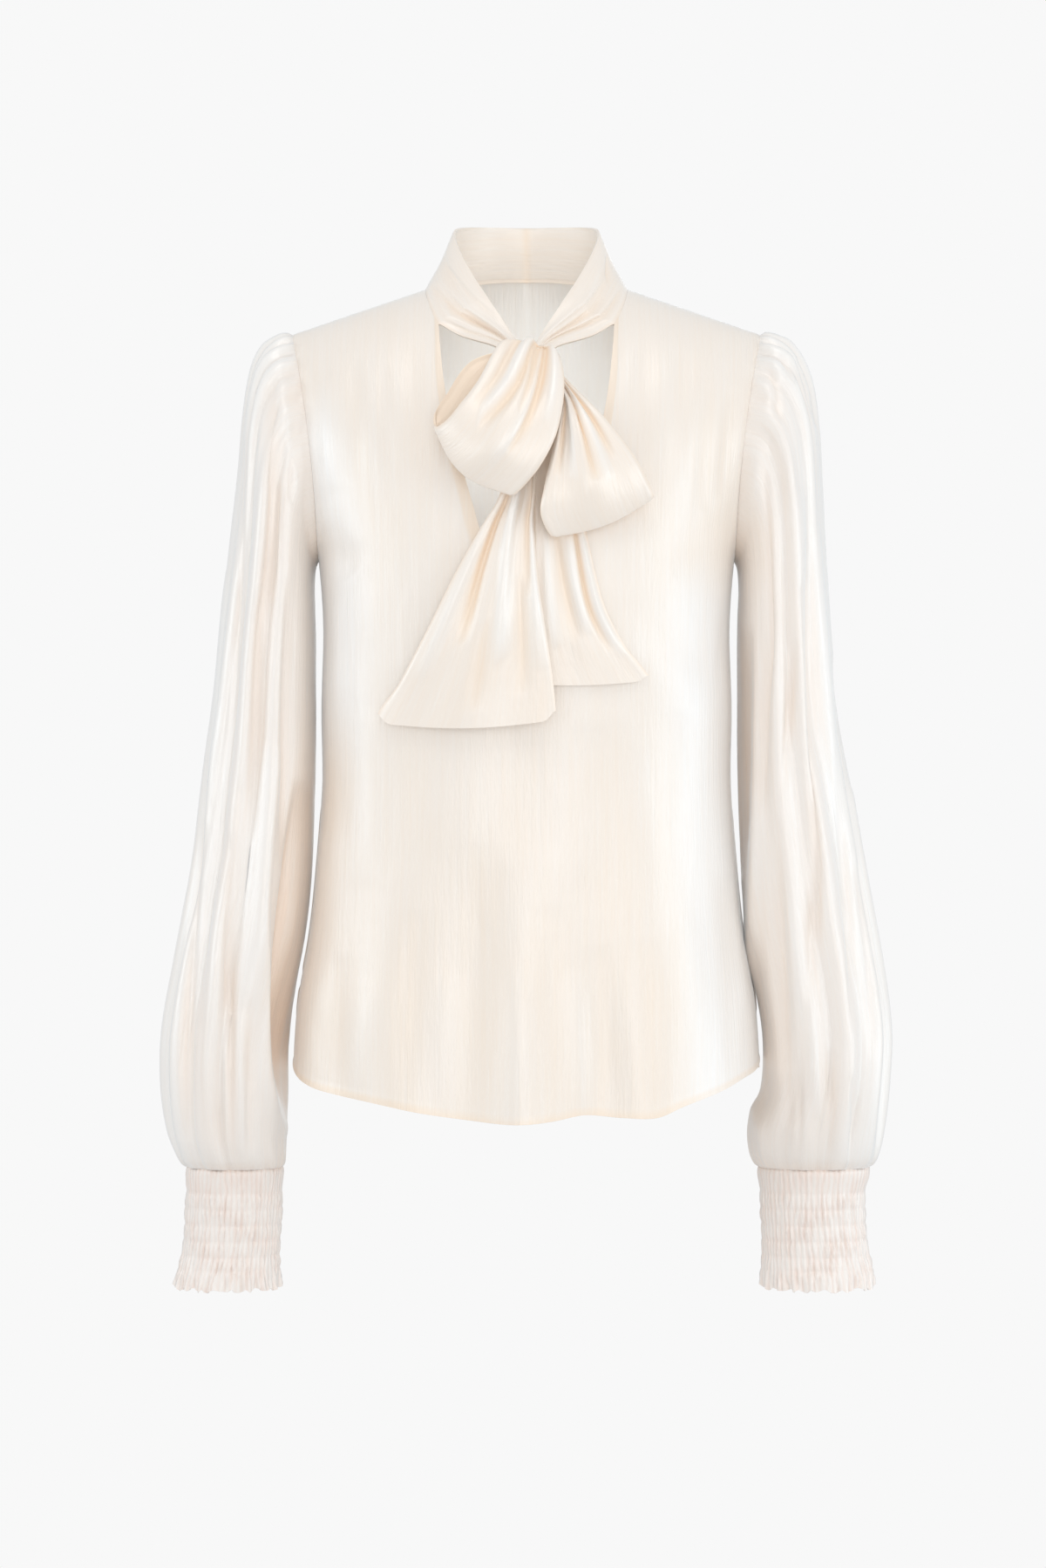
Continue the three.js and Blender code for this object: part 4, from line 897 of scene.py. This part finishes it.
def cuff_piece(name, side, table, seed):
    chance = np.random.default_rng(seed)
    angle = np.linspace(0, 2 * np.pi, 361)[None, :]
    drop = np.linspace(table[0, 0] - CUFF_TUCK, table[-1, 0], 68)[:, None]
    out_x, in_x, depth = [look_up(table, column, drop) for column in (1, 2, 3)]
    pinch = np.zeros(drop.shape)
    for row in ELASTIC_DROPS:
        pinch = np.maximum(pinch, bell(drop - row, ELASTIC_REACH))
    drift = np.zeros((1, 1))
    for turns, down in ((3, 0.031), (5, -0.052), (8, 0.077), (13, 0.12), (21, -0.19)):
        drift = drift + np.sin(turns * angle + down * drop * 2 + chance.uniform(0, 6.28)) / turns**0.5
    ribs = 0.5 + 0.5 * np.cos(CUFF_RIBS * angle + 1.5 * drift)
    finer = 0.5 + 0.5 * np.cos(FINER_RIBS * angle - 1.9 * drift + 0.21 * drop)
    patches = np.sin(7 * angle + 0.11 * drop + drift) * np.sin(11 * angle - 0.07 * drop)
    strength = 0.75 + 0.4 * patches
    shirred = ease(678, 684, drop)
    rib_height = mix(0.75, 1.5, shirred) * (1 - 0.25 * pinch) * strength
    puff = 0.45 * (1 - pinch) * strength - 0.2
    frill = ease(738, 753, drop) * 1.3 * np.sin(19 * angle + drift)
    tucked = 2 * ease(table[0, 0] + 0.5, table[0, 0] - 1.5, drop)
    relief = rib_height * (ribs**0.8 + 0.45 * finer - 0.6) + puff + frill - tucked
    centre = (out_x + in_x) / 2
    x = centre + np.cos(angle) * ((out_x - in_x) / 2 + relief)
    y = -np.sin(angle) * (depth + relief)
    frilled_edge = 1.1 * np.sin(23 * angle + 2 * drift) + 0.5 * np.sin(9 * angle)
    frilled_edge = ease(744, 753, drop) * frilled_edge
    points = np.stack([side * x, y, -drop + frilled_edge + 0 * angle], -1)
    points[:, -1] = points[:, 0]
    # Painted shade: the tone turns peach between the ribs, along the elastic rows and under the
    # sleeve at the top, and the patches vary it unevenly.
    tone_and_painted_light = 0.12 + 0.15 * pinch * strength + 0.6 * (1 - ribs) ** 1.5 + 0.3 * patches
    tone_and_painted_light = tone_and_painted_light + 0.15 * ease(684, 676, drop)
    return cloth_piece(name, [(points, tone_and_painted_light, None)], CUFF_CLOTH, cuff_satin, tube_middle)


for hand, side, table, seed in (("right", -1, RIGHT_CUFF, 41), ("left", 1, LEFT_CUFF, 43)):
    cuff = cuff_piece(f"cuff_{hand}_cloth", side, table, seed)
    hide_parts(f"cuff_{hand}")

# Collar
# A soft stand of doubled satin, joined at the middle of the back and sewn into the neckline. It
# leans in at the front, where it draws down into the knot.
# x, y, drop, fold
COLLAR_TOP = np.array([
    (0, 50, -53.5, 0), (24, 46.5, -53.5, 0), (44, 33, -52, 0), (54, 15, -48.5, 0),
    (55.5, -3, -41.5, 0.3), (52, -20, -30.5, 1), (46, -37, -17, 1.7), (38, -52, -2, 2),
    (30, -64, 11, 2), (22.5, -73, 23, 1.6), (15.5, -80, 34, 1.3), (9.5, -87, 44, 0.9),
    (4, -97, 54, 0.3),
])
COLLAR_FREE_EDGE = np.array([(51, -73, 41), (38, -81, 46), (25, -89, 50.5), (12, -98, 58.5)], float)
COLLAR_SHOULDER = 4
COLLAR_CORNER = 8
COLLAR_END = 12
COLLAR_HOLLOW = 1.5
CREASE_SCALE = 10
DOUBLE_CLOTH = 1.6
tie_satin = satin("tie_satin", (0.99, 0.96, 0.92), (0.97, 0.8, 0.635), slub=1.1)

# place along, place across, for the creases of the collar's two halves
COLLAR_CREASES = {
    -1: [
        (-4, 0.06, 0.05, [(5.6, 0.16), (8, 0.36), (10, 0.54), (11.8, 0.62)]),
        (3, 0.07, 0.06, [(5.4, 0.36), (7.6, 0.54), (9.6, 0.7), (11.6, 0.78)]),
        (-2.4, 0.05, 0.05, [(8, 0.1), (10, 0.26), (11.8, 0.42)]),
        (-1.6, 0.05, 0.05, [(5, 0.58), (7.5, 0.76), (9.5, 0.88)]),
        (1.4, 0.06, 0.06, [(7.6, 0.24), (9.4, 0.4), (11, 0.5)]),
    ],
    1: [
        (-3.6, 0.06, 0.05, [(5.6, 0.14), (8, 0.24), (10, 0.42), (11.8, 0.55)]),
        (-3, 0.05, 0.05, [(7, 0.4), (9, 0.5), (10.6, 0.6), (11.8, 0.68)]),
        (2.8, 0.07, 0.06, [(6, 0.58), (8.4, 0.72), (10.4, 0.82), (11.8, 0.86)]),
        (-1.8, 0.05, 0.05, [(4.4, 0.72), (5.4, 0.55), (6.4, 0.38)]),
        (1.6, 0.06, 0.05, [(7.4, 0.3), (9.2, 0.42), (11, 0.56)]),
    ],
}


def neckline_point(place):
    """The neckline from the middle of the back, 0, over the shoulder seam to the opening's corner."""
    back_x, back_drop = back_neckline(np.clip(place / COLLAR_SHOULDER, 0, 1))
    ahead = np.clip((COLLAR_CORNER - place) / COLLAR_SHOULDER, 0, 1)
    front_x, front_drop = front_neckline(ahead)
    behind = place < COLLAR_SHOULDER
    x = np.where(behind, back_x, front_x)
    drop = np.where(behind, back_drop, front_drop)
    y = np.where(behind, form_y(1, x, drop) + HALF_SEAM, form_y(-1, x, drop) - HALF_SEAM)
    y = np.where(np.abs(place - COLLAR_SHOULDER) < 0.02, 0, y)
    return np.stack([x, y, -drop], -1)


def collar_half(mirror):
    place = np.linspace(0, COLLAR_END, 133)
    low = neckline_point(np.minimum(place, COLLAR_CORNER))
    low = low + np.stack([0.3 * low[:, 0] / NECK_HALF, 0 * place, 0.1 + 0 * place], -1)
    corner = neckline_point(np.array([float(COLLAR_CORNER)]))[0]
    first = (corner[0] - SEAM_GAP, corner[1], -corner[2] - SEAM_GAP)
    free = np.vstack([first, COLLAR_FREE_EDGE])
    edge = np.stack(by_row(free, place - COLLAR_CORNER), -1)
    edge[:, 2] *= -1
    low = np.where((place > COLLAR_CORNER)[:, None], edge, low)
    top = np.stack(by_row(COLLAR_TOP, place), -1)
    fold = top[:, 3:4]
    top = top[:, :3] * (1, 1, -1)
    sewn = ease(7.9, 7.2, place)[:, None]
    v = np.linspace(0, 1, 45)[None, :]
    v = v - 0.06 * sewn * (1 - v) ** 8
    points = low[:, None] + (top - low)[:, None] * v[..., None]
    out = points * (1, 1, 0)
    out = out / np.linalg.norm(out, axis=-1, keepdims=True)
    hollow = COLLAR_HOLLOW * ease(6, 1, place)[:, None]
    relief = (fold * np.sin(3 * np.pi * v) - hollow) * np.sin(np.pi * np.maximum(0, v))
    grid_place = place[:, None] + 0 * v
    grid_v = v + 0 * grid_place
    creases = [
        (height, left * CREASE_SCALE, right * CREASE_SCALE, np.array(path) * CREASE_SCALE)
        for height, left, right, path in COLLAR_CREASES[mirror]
    ]
    relief = relief + fold_relief(grid_place * CREASE_SCALE, grid_v * CREASE_SCALE, creases)
    rolled = ease(0.045, 0.0, 1 - grid_v)
    relief = relief - 0.5 * rolled - 1.8 * sewn * ease(-0.005, -0.04, grid_v)
    centre_seam = bell(grid_place, 0.12)
    relief = relief - 0.7 * centre_seam
    # Painted shade: the tone turns peach in the creases' hollows and paler on their ridges. The
    # centre back seam is a darker joint, and the tone turns peach toward the sewn edge.
    tone_and_painted_light = 0.42 + 0.05 * np.clip(-relief, -1, 6) + 0.25 * centre_seam
    tone_and_painted_light = tone_and_painted_light + 0.2 * ease(0.08, 0, grid_v)
    points = points + out * relief[..., None]
    points[..., 0] = np.where(grid_place > 0.001, mirror * points[..., 0], 0)
    return points, tone_and_painted_light, None


collar = cloth_piece(
    "collar_cloth", [collar_half(-1), collar_half(1)], DOUBLE_CLOTH, tie_satin, towards_axis
)
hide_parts("collar")

# Bow knot
# The tie wraps once round itself in front of the opening. The large loop hides most of it.
KNOT = {"x": 2, "drop": 61, "off": 12, "half_x": 14, "half_y": 10, "half_z": 10}
KNOT_WRAP = 0.05
KNOT_WARMTH = 0.5
knot_form = bmesh.new()
bmesh.ops.create_uvsphere(knot_form, u_segments=72, v_segments=44, radius=1)
knot_y = float(form_y(-1, np.float64(KNOT["x"]), np.float64(KNOT["drop"]))) - KNOT["off"]
for vert in knot_form.verts:
    p = vert.co.copy()
    wrap = 1 + KNOT_WRAP * math.cos(7 * p.x + 2 * p.z)
    crease = 0.09 * bell(p.x - 0.35 * p.z - 0.25, 0.09) + 0.07 * bell(p.x + 0.4 * p.z + 0.3, 0.1)
    wrap -= crease * max(0, -p.y)
    vert.co = (
        (p.x * KNOT["half_x"] * wrap + KNOT["x"]) * MM,
        (p.y * KNOT["half_y"] * wrap + knot_y) * MM,
        (p.z * KNOT["half_z"] - KNOT["drop"]) * MM,
    )
knot = piece_from(knot_form, "bow_knot_cloth", tie_satin)
knot_places = np.array([vert.co for vert in knot.data.vertices])
lay_satin(knot.data, knot_places[:, (0, 2)], np.full(len(knot_places), KNOT_WARMTH))
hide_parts("bow_knot")

# Bow loops
# Each loop is the doubled tie folded back on itself: out in front, round, and back behind to
# the knot, which gathers it into creases that spread and die away.
# edge a: x, drop, off. edge b: x, drop, off. belly, reach, fold
RIGHT_LOOP = np.array([
    (-9, 53, 15, 13, 58, 15, 0, 0, 0.5), (-20, 50.5, 24, 23.5, 58, 23, 2, -4, 2.6),
    (-36, 80, 31, 28, 83, 30, 6, 1, 3), (-49, 98, 35, 23, 117, 34, 8, 5, 2.2),
    (-58, 109, 33, 10, 144, 32, 7, 9, 1.2), (-67, 114, 25, -8, 164, 22, 0, 13, 0.3),
    (-67.5, 104, 17.5, -7, 157, 16, 0, 10, 0), (-58.5, 90, 16.5, 5, 138, 17, 0, 6, 0.4),
    (-41, 66, 17, 18, 100, 18, 0, 2, 0.8), (-12, 56, 14, 10, 64, 15, 0, 0, 0.4),
], float)
LEFT_LOOP = np.array([
    (12, 58, 12, 9, 65, 12, 0, 0, 0), (32, 80, 16, 25, 91, 16, 1, 0, 0.2),
    (55, 104, 24, 21, 118, 23, 6, -1, 2.2), (78, 134, 27, 12.5, 157, 26, 8, -3, 1.8),
    (89, 154, 24, 10, 178, 22, 5, -5, 0.8), (93, 165, 16, 18, 194, 15, 0, -6, 0.2),
    (87, 158, 9, 22, 186, 9.5, 0, -5, 0), (64, 127, 8.5, 26, 146, 9, 0, -2, 0.3),
    (41, 100, 8.5, 29, 104, 9, 0, 0, 0.2), (12, 62, 8.5, 9, 69, 8.5, 0, 0, 0),
], float)
# place across the tie, place along it
RIGHT_LOOP_CREASES = [
    (-4.5, 3.5, 4.5, [(74, 3), (56, 14), (40, 25), (26, 36)]),
    (-4, 3.5, 4, [(81, 3), (76, 14), (70, 26), (64, 42)]),
    (-3, 3, 3, [(78, 3), (67, 13), (60, 22), (56, 30)]),
    (2.4, 6, 6, [(66, 3), (48, 12), (32, 24), (20, 34)]),
    (2, 5, 5, [(90, 3), (88, 16), (85, 32)]),
    (-2, 4, 5, [(44, 4), (30, 12), (18, 22), (10, 30)]),
    (1.4, 6, 6, [(70, 20), (62, 34), (54, 46)]),
]
LEFT_LOOP_CREASES = [
    (-4, 4, 5, [(50, 6), (48, 16), (46, 28), (46, 36)]),
    (-3, 4, 4, [(26, 8), (22, 20), (20, 32)]),
    (-2.6, 4, 5, [(80, 8), (84, 20), (86, 32)]),
    (2, 6, 6, [(64, 8), (66, 20), (68, 34)]),
    (1.6, 5, 5, [(36, 8), (34, 22), (32, 38)]),
]


def tie_band(name, table, steps, across, folds, creases, inside, behind=0.0, corner=0.0):
    """A length of the doubled tie along a table of sections, from edge a to edge b. Behind is how
    much painted shade turns its layer peach past the turn of a loop, and corner rounds the end of a
    tail."""
    at = np.linspace(0, len(table) - 1, steps + 1)[:, None]
    ax, a_drop, a_off, bx, b_drop, b_off, belly, reach, fold = by_row(table, at)
    v = np.linspace(0, 1, across + 1)[None, :]
    wide = np.hypot(bx - ax, b_drop - a_drop)
    swell = np.sin(np.pi * v)
    x = mix(ax, bx, v) - (b_drop - a_drop) / wide * reach * swell
    drop = mix(a_drop, b_drop, v) + (bx - ax) / wide * reach * swell
    edge = np.minimum(v, 1 - v) * wide
    place = at / (len(table) - 1) * 100 + 0 * v
    drop = drop - corner * ease(88, 100, place) * bell(edge, 5)
    soft = fold * np.cos(2 * np.pi * folds * v) * np.maximum(0, swell) ** 0.5
    off = mix(a_off, b_off, v) + belly * swell + soft
    points = np.stack([x, form_y(-1, x, drop) - off, -drop], -1)
    normal = np.cross(np.gradient(points, axis=1), np.gradient(points, axis=0))
    normal = normal / np.linalg.norm(normal, axis=-1, keepdims=True)
    if (normal * (points - np.array(inside))).sum() < 0:
        normal = -normal
    relief = fold_relief(100 * v + 0 * place, place, creases)
    rolled = ease(3, 0, edge)
    relief = relief - 0.7 * rolled**2 + 0.3 * bell(edge - 3.5, 1.6)
    # Painted shade: the tone turns peach in the creases' hollows, paler on their ridges, on the layer
    # past a loop's turn and where the tie runs into the knot. The rolled edges are peach as doubled
    # cloth.
    tone_and_painted_light = 0.46 + 0.2 * np.clip(-relief, -1.6, 4) + 0.12 * rolled
    tone_and_painted_light = tone_and_painted_light + behind * ease(56, 62, place) + 0.4 * ease(16, 2, place)
    points = points + normal * relief[..., None]
    piece = cloth_piece(
        f"{name}_cloth", [(points, tone_and_painted_light, None)], DOUBLE_CLOTH, tie_satin,
        lambda p: np.array(inside) + 0 * p,
    )
    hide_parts(name)
    return piece


loop_right = tie_band(
    "bow_loop_right", RIGHT_LOOP, steps=150, across=84, folds=2, creases=RIGHT_LOOP_CREASES,
    inside=(-20, -125, -110), behind=0.6,
)
loop_left = tie_band(
    "bow_loop_left", LEFT_LOOP, steps=150, across=72, folds=2, creases=LEFT_LOOP_CREASES,
    inside=(46, -128, -135), behind=0.5,
)

# Bow tails
# The tie's two ends hang from the knot and widen to their hemmed ends. They lie on the front.
RIGHT_TAIL = np.array([
    (-7, 63, 12, 6, 63, 12, 0, 0, 0), (-12, 92, 9.5, 8, 92, 9.5, 0, 0, 1),
    (-15, 130, 9.5, 8, 130, 9.5, 0, 0, 1.4), (-20, 162, 9.5, 7, 160, 9.5, 0, 0, 1.8),
    (-34, 187, 9.5, 6, 184, 9.5, 1, 0, 2), (-52, 219, 9.5, 8.5, 222, 10, 1.5, 0, 2),
    (-71, 257, 9, 13.5, 257, 10, 2, 0, 1.8), (-91, 295, 8, 19, 295, 10, 2, 1, 1.4),
    (-110, 329, 6, 21.5, 327, 10, 2, 5, 1),
], float)
LEFT_TAIL = np.array([
    (1, 64, 5.5, 8, 64, 5.5, 0, 0, 0), (3, 95, 4.2, 20, 95, 4.2, 0, 0, 0.5),
    (4, 130, 4, 28, 130, 4, 0, 0, 1), (4, 158, 4, 34, 158, 4, 0, 0, 1.2),
    (4, 188, 4, 43, 188, 4, 0, 0, 1.3), (3, 219, 4, 50, 219, 4, 0.5, 0, 1.3),
    (3, 247, 4, 58, 246, 4, 0.5, 0, 1.2), (3, 274, 4, 71, 271, 4, 0.5, 0, 1),
    (4, 301, 4, 89.5, 298, 4, 0.5, 2, 0.7),
], float)
RIGHT_TAIL_CREASES = [
    (-4.2, 5, 4, [(24, 36), (27, 52), (30, 66), (34, 80)]),
    (3.8, 5, 8, [(40, 30), (50, 46), (58, 62), (64, 84)]),
    (-2.6, 5, 5, [(84, 30), (86, 48), (88, 68)]),
    (1.6, 5, 5, [(92, 44), (93, 64), (93, 86)]),
    (-1.6, 5, 5, [(78, 62), (80, 78), (80, 92)]),
    (1.6, 5, 6, [(14, 50), (12, 68), (12, 88)]),
    (-1.4, 6, 6, [(48, 74), (50, 84), (52, 96)]),
]
LEFT_TAIL_CREASES = [
    (-2, 7, 7, [(42, 44), (46, 58), (51, 72), (54, 86)]),
    (-3.4, 4, 3, [(80, 42), (80, 58), (79, 72), (82, 90)]),
    (2.6, 5, 4, [(90, 42), (90, 60), (90, 76), (92, 92)]),
    (1.8, 8, 8, [(24, 46), (26, 66), (28, 88)]),
    (1.6, 6, 6, [(64, 50), (66, 66), (68, 84)]),
]
tail_right = tie_band(
    "bow_tail_right", RIGHT_TAIL, steps=130, across=80, folds=2, creases=RIGHT_TAIL_CREASES,
    inside=(0, 0, -200), corner=7,
)
tail_left = tie_band(
    "bow_tail_left", LEFT_TAIL, steps=120, across=60, folds=1.5, creases=LEFT_TAIL_CREASES,
    inside=(0, 0, -200), corner=4,
)
